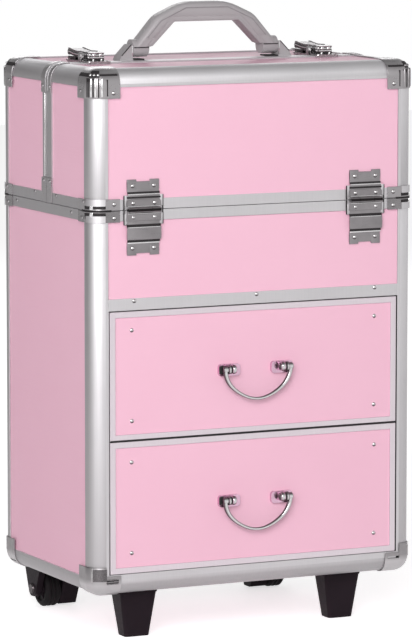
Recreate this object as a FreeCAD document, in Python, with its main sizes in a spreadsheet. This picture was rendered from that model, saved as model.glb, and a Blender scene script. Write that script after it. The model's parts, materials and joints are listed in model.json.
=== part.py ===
import FreeCAD, Part
import math
import os

import Sketcher

# A wheeled trolley case for make-up: an aluminium-framed box with two drawers,
# a top that parts in the middle into two hinged half-lids, a self-levelling tray
# in each half-lid, a carry handle on top and a telescopic handle at the back.
# Right is +X, the front faces -Y, and the floor is at z = 0.

DIMENSIONS = {
    # the whole case
    "case_width": 360, "case_depth": 226, "case_height": 526, "foot_height": 50,
    "front_reach": 10.7, "rear_reach": 18.5, "lid_line": 386, "lid_gap": 0.6,
    "split_setback": 108, "split_gap": 0.8,
    # aluminium extrusions and the boards that sit in their grooves
    "skin": 1.5, "board": 4, "groove": 4.2, "flange": 1.3, "rail_leg": 18,
    "edge_radius": 15, "groove_floor": 11, "board_play": 0.3, "rim_height": 10.5,
    "rim_web": 2, "base_rail_height": 21, "header_low": 286, "header_high": 298,
    "lining": 1.5, "floor_board": 4,
    # stamped corner pieces
    "cap_steel": 1.2, "cap_reach": 31, "cap_height": 29, "cap_slot": 1.3,
    "cap_slot_drop": 5, "rim_cap_leaf": 30.3, "rim_cap_height": 11.3,
    "rim_cap_slot": 3.4, "rim_cap_slot_edge": 1.6, "seam_cap_width": 11.6,
    "seam_cap_height": 25, "foot_cap_band": 15, "foot_cap_leaf_height": 20,
    "foot_cap_slot_low": 14, "foot_cap_slot_high": 16.2,
    # drawers
    "drawer_face_half": 160.5, "lower_drawer_low": 21.6, "lower_drawer_high": 154.4,
    "upper_drawer_low": 155.6, "upper_drawer_high": 285, "drawer_frame": 6,
    "drawer_box_half": 149.5, "drawer_box_length": 196, "drawer_wall": 6,
    "drawer_box_lift": 4, "drawer_box_drop": 26, "drawer_bottom": 4,
    "runner_height": 26, "runner_steel": 1.5, "runner_lip": 152.5,
    "slide_bar_half": 161, "slide_bar_height": 22,
    # drawer pulls
    "pull_post_x": 29.5, "pull_post_length": 24, "pull_post_height": 12,
    "pull_post_plate": 3.5, "pull_standoff": 6.5, "pull_lug_radius": 4.2,
    "pull_lug_length": 8.5, "pull_half_width": 35.8, "pull_bar_width": 3,
    "pull_bar_depth": 6, "pull_drop": 31, "pull_pin_radius": 1.4,
    "pull_pin_length": 9, "upper_pull_z": 221.5, "lower_pull_z": 88.5,
    "running_gap": 0.05,
    # hinges between the case and the half-lids
    "hinge_x": 124, "hinge_width": 35, "hinge_offset": 3, "hinge_steel": 1.6,
    "knuckle_radius": 2.8, "knuckle_gap": 0.4, "hinge_pin_radius": 1.2,
    "hinge_top": 30.2, "hinge_bottom": 45.2, "hinge_wing": 42.6, "hinge_wing_steel": 1.2,
    "hinge_wing_reach": 14.8, "hinge_notch": 14.8, "hinge_tongue": 16,
    "knuckle_relief": 3.4,
    # top latches
    "latch_x": 129, "latch_width": 26, "latch_lever_width": 17, "latch_axis_back": 5.5,
    "latch_axis_height": 7, "latch_barrel": 2.4, "latch_cam": 3.85, "latch_pin": 1.3,
    "latch_knuckle": 5, "latch_lever_length": 38, "latch_base_length": 40, "latch_plate": 1.5,
    "latch_hook_half": 7, "latch_hook_length": 8.6, "latch_hook_height": 10.2,
    "latch_tongue": 1.3, "latch_tongue_gap": 0.2, "latch_tongue_half": 6,
    "latch_tongue_reach": 1, "latch_drum_radius": 5.2, "latch_drum_height": 2.8,
    # carry handle
    "handle_setback": 13.5, "handle_half": 82, "handle_rise": 58, "handle_depth": 20,
    "handle_pivot_height": 12, "handle_end_radius": 9, "handle_end_width": 17.5,
    "handle_grip_height": 18.2, "handle_shoulder": 55, "handle_shoulder_rise": 44.5,
    "handle_crown": 25, "handle_round": 6, "handle_spring": 13.5,
    "handle_inner_spring": 61, "handle_inner_shoulder": 37.5, "handle_pin_radius": 2.5,
    "handle_bracket_toe": 97.5, "handle_bracket_depth": 17, "handle_bracket_rise": 16,
    # trays and their parallel arms
    "tray_half": 166, "tray_length": 83, "tray_height": 34, "tray_wall": 2,
    "tray_pivot_in": 58, "tray_pivot_up": 82, "tray_step_in": 34, "tray_step_up": -6,
    "arm_plane": 168.3, "arm_steel": 2, "arm_width": 10, "tray_pin_radius": 2,
    "tray_plate_half": 12,
    # feet and wheels
    "foot_x": 115.6, "foot_setback": 43, "foot_top_x": 40, "foot_top_y": 28,
    "foot_tip_x": 27, "foot_tip_y": 20, "foot_rim": 5, "foot_rim_lip": 1,
    "wheel_radius": 19.5, "wheel_width": 17, "wheel_x": 131, "axle_radius": 3,
    "bracket_inner": 102, "bracket_outer": 148, "bracket_cheek": 7,
    "bracket_cheek_half": 19, "bracket_boss": 8, "bracket_plate": 4,
    "bracket_flange_height": 32,
    # telescopic handle
    "tube_x": 75, "tube_setback": 9, "tube_width": 20, "tube_depth": 12,
    "tube_wall": 1.2, "tube_play": 0.2, "tube_low": 30, "tube_high": 352,
    "collar_half": 95, "collar_depth": 17.5, "collar_low": 340, "collar_high": 360,
    "foot_bracket_low": 24, "foot_bracket_high": 46, "grip_half": 88,
    "grip_low": 360.5, "grip_high": 380, "grip_leg": 28, "grip_gap": 6.5,
    "button_half": 18, "button_depth": 8, "button_proud": 2.6,
}


class Size:
    """A number together with the sheet formula that it comes from."""

    def __init__(self, value, formula):
        self.value = float(value)
        self.formula = formula

    def __add__(self, other):
        other = as_size(other)
        return Size(self.value + other.value, f"({self.formula} + {other.formula})")

    def __sub__(self, other):
        other = as_size(other)
        return Size(self.value - other.value, f"({self.formula} - {other.formula})")

    def __mul__(self, other):
        other = as_size(other)
        return Size(self.value * other.value, f"({self.formula} * {other.formula})")

    def __truediv__(self, other):
        other = as_size(other)
        return Size(self.value / other.value, f"({self.formula} / {other.formula})")

    def __neg__(self):
        return self * -1

    __radd__ = __add__
    __rmul__ = __mul__

    def __rsub__(self, other):
        return as_size(other) - self

    def __lt__(self, other):
        return self.value < as_size(other).value


def as_size(number):
    return number if isinstance(number, Size) else Size(number, repr(float(number)))


class Sheet:
    """The driving dimensions, each a Size bound to its own cell."""

    def __init__(self, document, dimensions):
        cells = document.addObject("Spreadsheet::Sheet", "Sizes")
        for line, (name, value) in enumerate(dimensions.items(), start=1):
            cells.set(f"A{line}", name)
            cells.set(f"B{line}", str(value))
            cells.setAlias(f"B{line}", name)
            setattr(self, name, Size(value, f"Sizes.{name}"))


document = FreeCAD.newDocument("makeup_trolley_case")
size = Sheet(document, DIMENSIONS)
document.recompute()
nodes = {}


# How the pieces are drawn.

PLANES = {"X": "YZ_Plane", "Y": "XZ_Plane", "Z": "XY_Plane"}
TURNED_FROM_Z = {
    "X": FreeCAD.Rotation(FreeCAD.Vector(0, 1, 0), 90),
    "Y": FreeCAD.Rotation(FreeCAD.Vector(1, 0, 0), -90),
    "Z": FreeCAD.Rotation(),
}


def bind(item, name, amount):
    item.setExpression(name, as_size(amount).formula)


def keep(node, item):
    """Names the finished object of a node, which is exported under that name."""
    item.Label = node
    nodes[node] = item
    return item


def block(name, x, y, z):
    """A board or bar given by its low and high limits on each axis, in either order."""
    item = document.addObject("Part::Box", name)
    sides = (("Length", "x", x), ("Width", "y", y), ("Height", "z", z))
    for side, axis, limits in sides:
        low, high = sorted((as_size(limits[0]), as_size(limits[1])))
        bind(item, side, high - low)
        bind(item, f"Placement.Base.{axis}", low)
    return item


def rod(name, axis, centre, radius, low, high):
    """A round bar along an axis: centre is its place on the two other axes."""
    item = document.addObject("Part::Cylinder", name)
    item.Placement = FreeCAD.Placement(FreeCAD.Vector(), TURNED_FROM_Z[axis])
    bind(item, "Radius", radius)
    bind(item, "Height", as_size(high) - low)
    along = axis.lower()
    others = [letter for letter in "xyz" if letter != along]
    bind(item, f"Placement.Base.{along}", low)
    bind(item, f"Placement.Base.{others[0]}", centre[0])
    bind(item, f"Placement.Base.{others[1]}", centre[1])
    return item


def cut(name, base, *tools):
    item = document.addObject("Part::Cut", name)
    item.Base = base
    item.Tool = tools[0] if len(tools) == 1 else group(name + "_tools", tools)
    return item


def fuse(name, *parts):
    item = document.addObject("Part::MultiFuse", name)
    item.Shapes = list(parts)
    item.Refine = True
    return item


def group(name, parts):
    """Several separate solids kept together, such as a pair or a set of like pieces."""
    item = document.addObject("Part::Compound", name)
    item.Links = list(parts)
    return item


def mirrored(name, source, axis, plane=0):
    """The same piece on the other side of a plane square to the axis."""
    item = document.addObject("Part::Mirroring", name)
    item.Source = source
    item.Normal = FreeCAD.Vector(*(letter == axis for letter in "XYZ"))
    bind(item, f"Base.{axis.lower()}", plane)
    return item


def pair(name, source):
    """A piece and its mirror image about the middle of the case."""
    return group(name, [source, mirrored(name + "_left", source, "X")])


def draw(body, name, axis, at, outlines):
    """A sketch square to the axis, with every corner of its outlines tied to the sheet."""
    sketch = body.newObject("Sketcher::SketchObject", name)
    role = PLANES[axis]
    plane = [item for item in body.Origin.OriginFeatures if item.Role == role][0]
    sketch.AttachmentSupport = [(plane, "")]
    sketch.MapMode = "FlatFace"
    bind(sketch, "AttachmentOffset.Base.z", -as_size(at) if axis == "Y" else at)
    for outline in outlines:
        corners = [(as_size(across), as_size(up)) for across, up in outline]
        first = sketch.GeometryCount
        for index, corner in enumerate(corners):
            following = corners[(index + 1) % len(corners)]
            start = FreeCAD.Vector(corner[0].value, corner[1].value, 0)
            end = FreeCAD.Vector(following[0].value, following[1].value, 0)
            sketch.addGeometry(Part.LineSegment(start, end))
        for index, corner in enumerate(corners):
            line = first + index
            next_line = first + (index + 1) % len(corners)
            sketch.addConstraint(Sketcher.Constraint("Coincident", line, 2, next_line, 1))
            for kind, amount in zip(("DistanceX", "DistanceY"), corner):
                rule = Sketcher.Constraint(kind, -1, 1, line, 1, amount.value)
                number = sketch.addConstraint(rule)
                bind(sketch, f"Constraints[{number}]", amount)
    sketch.recompute()
    return sketch


def rounded(body, feature, edges, radius):
    """Rounds the named edges of a body's last feature."""
    item = body.newObject("PartDesign::Fillet", body.Name + "_round")
    item.Base = (feature, edges)
    bind(item, "Radius", radius)
    item.recompute()
    return item


def edges_where(shape, test):
    return [f"Edge{index}" for index, edge in enumerate(shape.Edges, start=1) if test(edge)]


def runs_along(edge, axis, at, slack=0.01):
    """Whether a straight edge runs along the axis through a place on the other two."""
    ends = [vertex.Point for vertex in edge.Vertexes]
    if len(ends) != 2:
        return False
    others = ["XYZ".index(letter) for letter in "XYZ" if letter != axis]
    return all(abs(end[other] - place) < slack for end in ends for other, place in zip(others, at))


def padded(name, axis, outline, low, high, rounds=(), holes=()):
    """An outline drawn square to the axis and padded between two limits.

    rounds holds (radius, corner numbers) for the long edges that are rounded.
    """
    body = document.addObject("PartDesign::Body", name)
    low, high = sorted((as_size(low), as_size(high)))
    start = high if axis == "Y" else low
    sketch = draw(body, name + "_outline", axis, start, [outline, *holes])
    feature = body.newObject("PartDesign::Pad", name + "_pad")
    feature.Profile = sketch
    bind(feature, "Length", high - low)
    feature.recompute()
    for radius, numbers in rounds:
        places = [[as_size(number).value for number in outline[n]] for n in numbers]
        edges = edges_where(
            feature.Shape, lambda edge: any(runs_along(edge, axis, at) for at in places)
        )
        feature = rounded(body, feature, edges, radius)
    return body


def turned(name, axis, centre, outline):
    """A half outline of (along, radius) corners, turned about an axis through centre."""
    body = document.addObject("PartDesign::Body", name)
    plane_axis = "Z" if axis == "Y" else "Y"
    points = outline if axis == "X" else [(radius, along) for along, radius in outline]
    x, y, z = centre
    sketch = draw(body, name + "_outline", plane_axis, z if axis == "Y" else y, [points])
    bind(sketch, "AttachmentOffset.Base.x", x)
    bind(sketch, "AttachmentOffset.Base.y", y if axis == "Y" else z)
    sketch.recompute()
    feature = body.newObject("PartDesign::Revolution", name + "_turn")
    feature.Profile = sketch
    feature.ReferenceAxis = (sketch, ["H_Axis" if axis == "X" else "V_Axis"])
    feature.Angle = 360
    feature.recompute()
    return body


def lofted(name, low, high, low_half, high_half, centre, radius):
    """A tapered post between two rectangles, with its four long edges rounded."""
    body = document.addObject("PartDesign::Body", name)
    sketches = []
    for level, half in ((low, low_half), (high, high_half)):
        outline = [
            (centre[0] + x * half[0], centre[1] + y * half[1])
            for x, y in ((-1, -1), (1, -1), (1, 1), (-1, 1))
        ]
        sketches.append(draw(body, f"{name}_outline_{len(sketches)}", "Z", level, [outline]))
    feature = body.newObject("PartDesign::AdditiveLoft", name + "_loft")
    feature.Profile = sketches[0]
    feature.Sections = [sketches[1]]
    feature.recompute()
    flat = (as_size(low).value, as_size(high).value)
    slanted = edges_where(
        feature.Shape,
        lambda edge: not any(
            all(abs(vertex.Point.z - level) < 0.01 for vertex in edge.Vertexes) for level in flat
        ),
    )
    rounded(body, feature, slanted, radius)
    return body


def around(corner, directions, steps):
    """Corners of a profile, stepped from one corner of the case along two directions."""
    return [
        (corner[0] + directions[0] * across, corner[1] + directions[1] * up)
        for across, up in steps
    ]


# Places that many pieces share.

shift = (size.front_reach - size.rear_reach) / 2
half_width = size.case_width / 2
front = shift - size.case_depth / 2
rear = shift + size.case_depth / 2
bottom = size.foot_height
top = bottom + size.case_height
lid_line = bottom + size.lid_line
case_rim = lid_line - size.lid_gap / 2
lid_rim = lid_line + size.lid_gap / 2
split = front + size.split_setback
board_edge = size.groove_floor + size.board_play
rail_depth = size.skin + size.groove + size.flange


# Aluminium extrusions.

def edge_rail(name, axis, corner, directions, low, high, legs=None):
    """A corner extrusion: a rounded outer skin, and a groove in each leg for a board."""
    leg, other_leg = legs or (size.rail_leg, size.rail_leg)
    grip = size.skin + size.groove
    steps = [
        (0, 0), (leg, 0), (leg, size.skin), (size.groove_floor, size.skin),
        (size.groove_floor, grip), (leg, grip), (leg, rail_depth), (rail_depth, rail_depth),
        (rail_depth, other_leg), (grip, other_leg), (grip, size.groove_floor),
        (size.skin, size.groove_floor), (size.skin, other_leg), (0, other_leg),
    ]
    outline = around(corner, directions, steps)
    return padded(name, axis, outline, low, high, rounds=[(size.edge_radius, [0])])


def rim_rail(name, axis, corner, directions, low, high, height, lies_flat=False):
    """A channel that caps the edge of a board where the case opens."""
    grip = size.skin + size.groove
    steps = [
        (0, 0), (rail_depth, 0), (rail_depth, height), (grip, height),
        (grip, size.rim_web), (size.skin, size.rim_web), (size.skin, height), (0, height),
    ]
    if lies_flat:
        steps = [(up, across) for across, up in steps]
    return padded(name, axis, around(corner, directions, steps), low, high)


inner_half = half_width - size.rail_leg
inner_front = front + size.rail_leg
inner_rear = rear - size.rail_leg


def case_posts():
    """Four upright corner extrusions of the lower case."""
    posts = []
    for face, inward in ((front, 1), (rear, -1)):
        name = "front_post" if inward > 0 else "rear_post"
        corner, low = (half_width, face), bottom + size.rail_leg
        post = edge_rail(name, "Z", corner, (-1, inward), low, case_rim)
        posts += [post, mirrored(name + "_left", post, "X")]
    keep("case_corner_posts", group("case_posts", posts))


def case_rails():
    """Bottom rails, the rim rails at the lid line, and the rail above the drawers."""
    legs = (size.rail_leg, size.base_rail_height)
    side = edge_rail("side_bottom_rail", "Y", (half_width, bottom), (-1, 1), inner_front, inner_rear)
    front_rail = edge_rail(
        "front_bottom_rail", "X", (front, bottom), (1, 1), -inner_half, inner_half, legs
    )
    rear_rail = edge_rail("rear_bottom_rail", "X", (rear, bottom), (-1, 1), -inner_half, inner_half)
    left = mirrored("side_bottom_rail_left", side, "X")
    keep("case_bottom_rails", group("bottom_rails", [side, left, front_rail, rear_rail]))

    height = size.rim_height
    rims = [
        rim_rail("front_rim", "X", (front, case_rim), (1, -1), -inner_half, inner_half, height),
        rim_rail("rear_rim", "X", (rear, case_rim), (-1, -1), -inner_half, inner_half, height),
        rim_rail("side_rim", "Y", (half_width, case_rim), (-1, -1), inner_front, inner_rear, height),
    ]
    rims.append(mirrored("side_rim_left", rims[2], "X"))
    keep("case_rim_rails", group("case_rims", rims))

    header = rim_rail(
        "header", "X", (front, bottom + size.header_low), (1, 1), -inner_half, inner_half,
        size.header_high - size.header_low,
    )
    keep("drawer_header_rail", header)


def case_boards():
    """Laminated boards of the lower case, held in the extrusions' grooves."""
    outer = size.skin
    inner = size.skin + size.board
    low, high = bottom + board_edge, case_rim - size.rim_web - size.board_play
    across = (-half_width + board_edge, half_width - board_edge)
    side = block(
        "side_board", (half_width - inner, half_width - outer),
        (front + board_edge, rear - board_edge), (low, high),
    )
    keep("case_side_panels", pair("side_boards", side))
    keep("case_back_panel", block("back_board", across, (rear - inner, rear - outer), (low, high)))
    keep("case_bottom_panel", block(
        "bottom_board", across, (front + board_edge, rear - board_edge),
        (bottom + outer, bottom + inner),
    ))
    header_floor = bottom + size.header_low + size.rim_web + size.board_play
    keep("case_front_panel", block(
        "front_board", across, (front + outer, front + inner), (header_floor, high)
    ))
    floor = bottom + size.header_low + size.rim_web
    keep("compartment_floor", block(
        "compartment_board", (rail_depth - half_width, half_width - rail_depth),
        (front + rail_depth, rear - rail_depth), (floor, floor + size.floor_board),
    ))


def case_lining():
    """Open-topped lining of the compartment above the drawers."""
    off, wall = rail_depth, size.lining
    low = bottom + size.header_low + size.rim_web + size.floor_board
    high = case_rim - size.board_play
    walls = block(
        "lining_block", (-half_width + off, half_width - off), (front + off, rear - off), (low, high)
    )
    hollow = block(
        "lining_hollow", (-half_width + off + wall, half_width - off - wall),
        (front + off + wall, rear - off - wall), (low + wall, high + wall),
    )
    keep("case_lining", cut("lining_shell", walls, hollow))


# Stamped corner pieces.

def shell_over_corner(name, x, y, z, rounds):
    """A stamped sheet over a rounded corner: an outer block less the case inside it.

    x, y and z are (surface, direction inwards, reach), or a pair of limits where the
    piece doesn't wrap that axis. rounds names the axes whose edges are rounded.
    """
    steel = size.cap_steel
    limits, hollow = [], []
    for span in (x, y, z):
        if len(span) == 3:
            surface, inward, reach = span
            limits.append((surface - inward * steel, surface + inward * reach))
            hollow.append((surface, surface + inward * (reach + 1)))
        else:
            limits.append(span)
            hollow.append((span[0] - 1, span[1] + 1))
    wrapped = [len(span) == 3 for span in (x, y, z)]
    shells = []
    for part, spans, radius in (
        ("outer", limits, size.edge_radius + steel), ("inner", hollow, size.edge_radius)
    ):
        solid = block(f"{name}_{part}", *spans)
        solid.recompute()
        edges = []
        for index, edge in enumerate(solid.Shape.Edges, start=1):
            for axis in rounds:
                others = ["XYZ".index(letter) for letter in "XYZ" if letter != axis]
                at = [spans[other][0].value for other in others]
                if all(wrapped[other] for other in others) and runs_along(edge, axis, at):
                    edges.append((index, radius.value, radius.value))
        bent = document.addObject("Part::Fillet", f"{name}_{part}_bend")
        bent.Base = solid
        bent.Edges = edges
        shells.append(bent)
    return cut(name, *shells)


def corner_cap():
    """One stamped cap for a ball corner, with a slot under its top fold on each leaf."""
    cap = shell_over_corner(
        "corner_cap_shell", (half_width, -1, size.cap_reach), (front, 1, size.cap_reach),
        (top, -1, size.cap_height), "XYZ",
    )
    slot_high = top - size.cap_slot_drop
    slot = (slot_high - size.cap_slot, slot_high)
    outside = size.cap_steel + 1
    front_slot = block(
        "cap_front_slot", (half_width - size.cap_reach + 2, half_width - size.edge_radius),
        (front - outside, front + size.edge_radius), slot,
    )
    side_slot = block(
        "cap_side_slot", (half_width - size.edge_radius, half_width + outside),
        (front + size.edge_radius, front + size.cap_reach - 2), slot,
    )
    return cut("corner_cap", cap, front_slot, side_slot)


def foot_cap():
    """The cap of a bottom front corner, whose front leaf is cut low to let the drawer out."""
    cap = shell_over_corner(
        "foot_cap_shell", (half_width, -1, size.cap_reach), (front, 1, size.cap_reach),
        (bottom, 1, size.cap_height), "XYZ",
    )
    band = half_width - size.foot_cap_band
    end = half_width - size.cap_reach
    way_out = block(
        "foot_cap_way", (end - 1, band), (front - 2, front + 1),
        (bottom + size.foot_cap_leaf_height, bottom + size.cap_height + 1),
    )
    slot = block(
        "foot_cap_slot", (end + 3, band), (front - 2, front + 1),
        (bottom + size.foot_cap_slot_low, bottom + size.foot_cap_slot_high),
    )
    return cut("foot_cap", cap, way_out, slot)


def rim_cap():
    """A corner piece over the lid line: two leaves and a slotted band round the post."""
    cap = shell_over_corner(
        "rim_cap_shell", (half_width, -1, size.rim_cap_leaf), (front, 1, size.rim_cap_leaf),
        (lid_rim, lid_rim + size.rim_cap_height), "Z",
    )
    slot_low = lid_rim + size.rim_cap_slot_edge
    bend = size.edge_radius
    slot = block(
        "rim_cap_slot", (half_width - bend, half_width + bend), (front - bend, front + bend),
        (slot_low, slot_low + size.rim_cap_slot),
    )
    return cut("rim_cap", cap, slot)


def seam_caps(face_name, seam, inward):
    """The curved strap and the flat plate that close each end of a seam rail."""
    width = (seam - inward * size.seam_cap_width, seam)
    strap = shell_over_corner(
        f"{face_name}_seam_strap", (half_width, -1, size.rail_leg + 2), tuple(sorted(width)),
        (top, -1, size.cap_height), "Y",
    )
    plate = block(
        f"{face_name}_seam_plate", (half_width, half_width + size.cap_steel), width,
        (lid_rim, lid_rim + size.seam_cap_height),
    )
    return [strap, plate]


# Drawers.

def drawer(name, low, high, pull_z):
    """A drawer: laminated face in an aluminium frame, a box, slide bars and a bail pull."""
    half = size.drawer_face_half
    low, high = bottom + low, bottom + high
    frame = size.drawer_frame
    back = front + rail_depth
    face = (front + size.skin, front + size.skin + size.board)
    outer = block(f"{name}_frame_bar", (-half, half), (front, back), (low, high))
    window = block(
        f"{name}_frame_window", (-half + frame, half - frame), (front - 1, back + 1),
        (low + frame, high - frame),
    )
    rim = size.rim_web
    groove = (front + size.skin, front + size.skin + size.groove)
    rebate = block(
        f"{name}_frame_groove", (-half + rim, half - rim), groove, (low + rim, high - rim)
    )
    keep(f"{name}_frame", cut(f"{name}_frame_ring", outer, window, rebate))
    play = rim + size.board_play
    keep(f"{name}_panel", block(
        f"{name}_board", (-half + play, half - play), face, (low + play, high - play)
    ))

    box_half, wall = size.drawer_box_half, size.drawer_wall
    box_low, box_high = low + size.drawer_box_lift, high - size.drawer_box_drop
    box_rear = back + size.drawer_box_length
    shell = block(f"{name}_shell", (-box_half, box_half), (back, box_rear), (box_low, box_high))
    hollow = block(
        f"{name}_hollow", (-box_half + wall, box_half - wall), (back + wall, box_rear - wall),
        (box_low + size.drawer_bottom, box_high + 1),
    )
    middle = (box_low + box_high) / 2
    bar = block(
        f"{name}_slide_bar", (box_half, size.slide_bar_half), (back + 2, box_rear - 2),
        (middle - size.slide_bar_height / 2, middle + size.slide_bar_height / 2),
    )
    other_bar = mirrored(f"{name}_slide_bar_left", bar, "X")
    keep(f"{name}_box", group(f"{name}_box_parts", [
        cut(f"{name}_box_shell", shell, hollow), bar, other_bar
    ]))
    drawer_pull(name, bottom + pull_z)
    return middle


def runner(name, middle):
    """A folded steel channel on the side wall, open towards the drawer's slide bar."""
    web, lip, steel = half_width - rail_depth, size.runner_lip, size.runner_steel
    low, high = middle - size.runner_height / 2, middle + size.runner_height / 2
    outline = [
        (web, low), (web, high), (lip, high), (lip, high - steel), (web - steel, high - steel),
        (web - steel, low + steel), (lip, low + steel), (lip, low),
    ]
    channel = padded(name, "Y", outline, front + rail_depth + 2, rear - 12)
    return [channel, mirrored(name + "_left", channel, "X")]


def drawer_pull(name, z):
    """Two posts on the drawer's face and a half-oval bail that swings between them."""
    post_x, half = size.pull_post_x, size.pull_post_length / 2
    pivot_y = front - size.pull_standoff
    plate_face = front + size.skin - size.pull_post_plate
    plate = padded(
        f"{name}_post_plate", "Y",
        [
            (post_x - half, z - size.pull_post_height / 2 - 1),
            (post_x + half, z - size.pull_post_height / 2 - 1),
            (post_x + half, z + size.pull_post_height / 2 - 1),
            (post_x - half, z + size.pull_post_height / 2 - 1),
        ],
        plate_face, front + size.skin, rounds=[(3.5, [0, 1, 2, 3])],
    )
    lug_high = size.pull_half_width - size.pull_bar_width / 2 - 0.6
    lug_low = lug_high - size.pull_lug_length
    round_lug = rod(
        f"{name}_lug_round", "X", (pivot_y, z), size.pull_lug_radius, lug_low, lug_high
    )
    neck = block(
        f"{name}_lug_neck", (lug_low, lug_high), (pivot_y, plate_face + 1),
        (z - size.pull_lug_radius, z + size.pull_lug_radius),
    )
    bore = rod(
        f"{name}_lug_bore", "X", (pivot_y, z), size.pull_pin_radius + size.running_gap,
        lug_high - size.pull_pin_length - 0.5, lug_high + 1,
    )
    post = cut(f"{name}_post", fuse(f"{name}_post_body", plate, round_lug, neck), bore)
    keep(f"{name}_pull_posts", pair(f"{name}_posts", post))

    # the bail is a flat bar bent to half an oval, with a pin at each end
    depth = size.pull_bar_depth.value
    bar = size.pull_bar_width.value
    wide = size.pull_half_width.value + bar / 2
    drop = size.pull_drop.value + bar / 2
    middle = FreeCAD.Vector(0, pivot_y.value + depth / 2, z.value)
    ovals = []
    for reach, fall in ((wide, drop), (wide - bar, drop - bar)):
        oval = Part.Ellipse(
            middle + FreeCAD.Vector(reach, 0, 0), middle + FreeCAD.Vector(0, 0, fall), middle
        )
        solid = Part.Face(Part.Wire(oval.toShape())).extrude(FreeCAD.Vector(0, -depth, 0))
        ovals.append(solid)
    upper = Part.makeBox(
        4 * wide, 4 * depth, 2 * drop, middle + FreeCAD.Vector(-2 * wide, -2 * depth, 0)
    )
    bent = document.addObject("Part::Feature", f"{name}_bail_bend")
    bent.Shape = ovals[0].cut(ovals[1]).cut(upper)
    eye_low, eye_high = size.pull_half_width - bar / 2, size.pull_half_width + bar / 2
    eye = rod(f"{name}_bail_eye", "X", (pivot_y, z), size.pull_bar_depth / 2, eye_low, eye_high)
    pin = rod(
        f"{name}_bail_pin", "X", (pivot_y, z), size.pull_pin_radius,
        lug_high - size.pull_pin_length, eye_low,
    )
    ends = fuse(f"{name}_bail_end", eye, pin)
    other = mirrored(f"{name}_bail_end_left", ends, "X")
    keep(f"{name}_pull", fuse(f"{name}_bail", bent, ends, other))


# Hinges.

def hinge_leaves(name, face, outward):
    """A stamped hinge: the lid's leaf above, the case's leaf below, and their pin.

    outward is -1 on the front face and +1 on the rear face.
    """
    steel, x = size.hinge_steel, size.hinge_x
    half, tongue = size.hinge_width / 2, size.hinge_tongue / 2
    axis_y = face + outward * size.hinge_offset
    board = face - outward * size.skin
    raised = face + outward * steel
    sunk = board + outward * steel

    def side_profile(direction, steps):
        """The bent sheet seen from the side, stepping away from the lid line."""
        heights = [lid_line + direction * step for step in steps]
        near, ramp_start, ramp_end, far = heights
        return [
            (face, near), (face, ramp_start), (board, ramp_end), (board, far),
            (sunk, far), (sunk, ramp_end), (raised, ramp_start), (raised, near),
        ]

    upper_steps = (size.knuckle_relief, 15.5, 18.5, size.hinge_top)
    lower_steps = (size.knuckle_relief, 30, 33, size.hinge_bottom)
    wing_half = size.hinge_wing / 2
    knuckles = {
        "lid": [(x - tongue, x + tongue)],
        "case": [
            (x - half, x - tongue - size.knuckle_gap), (x + tongue + size.knuckle_gap, x + half)
        ],
    }
    leaves = {}
    for owner, direction, steps in (("lid", 1, upper_steps), ("case", -1, lower_steps)):
        sheet = padded(
            f"{name}_{owner}_sheet", "X", side_profile(direction, steps), x - half, x + half
        )
        wings = block(
            f"{name}_{owner}_wings", (x - wing_half, x + wing_half),
            (face, face + outward * size.hinge_wing_steel),
            (
                lid_line + direction * size.knuckle_relief,
                lid_line + direction * size.hinge_wing_reach,
            ),
        )
        notch = block(
            f"{name}_{owner}_notch", (x - size.hinge_notch / 2, x + size.hinge_notch / 2),
            (board - outward, board + outward * 5),
            (lid_line + direction * (steps[-1] - 2), lid_line + direction * (steps[-1] + 1)),
        )
        parts = [sheet, wings]
        for low, high in knuckles[owner]:
            number = len(parts)
            parts.append(rod(
                f"{name}_{owner}_knuckle_{number}", "X", (axis_y, lid_line),
                size.knuckle_radius, low, high,
            ))
            parts.append(block(
                f"{name}_{owner}_tongue_{number}", (low, high), (face, raised),
                (lid_line, lid_line + direction * (size.knuckle_relief + 1)),
            ))
        play = size.running_gap if owner == "lid" else 0
        bore = rod(
            f"{name}_{owner}_bore", "X", (axis_y, lid_line), size.hinge_pin_radius + play,
            x - half - 1, x + half + 1,
        )
        body = fuse(f"{name}_{owner}_body", *parts)
        leaves[owner] = cut(f"{name}_{owner}_leaf", body, bore, notch)
    pin = rod(
        f"{name}_pin", "X", (axis_y, lid_line), size.hinge_pin_radius, x - half, x + half
    )
    return leaves["lid"], leaves["case"], pin


# Half-lids.

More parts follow.
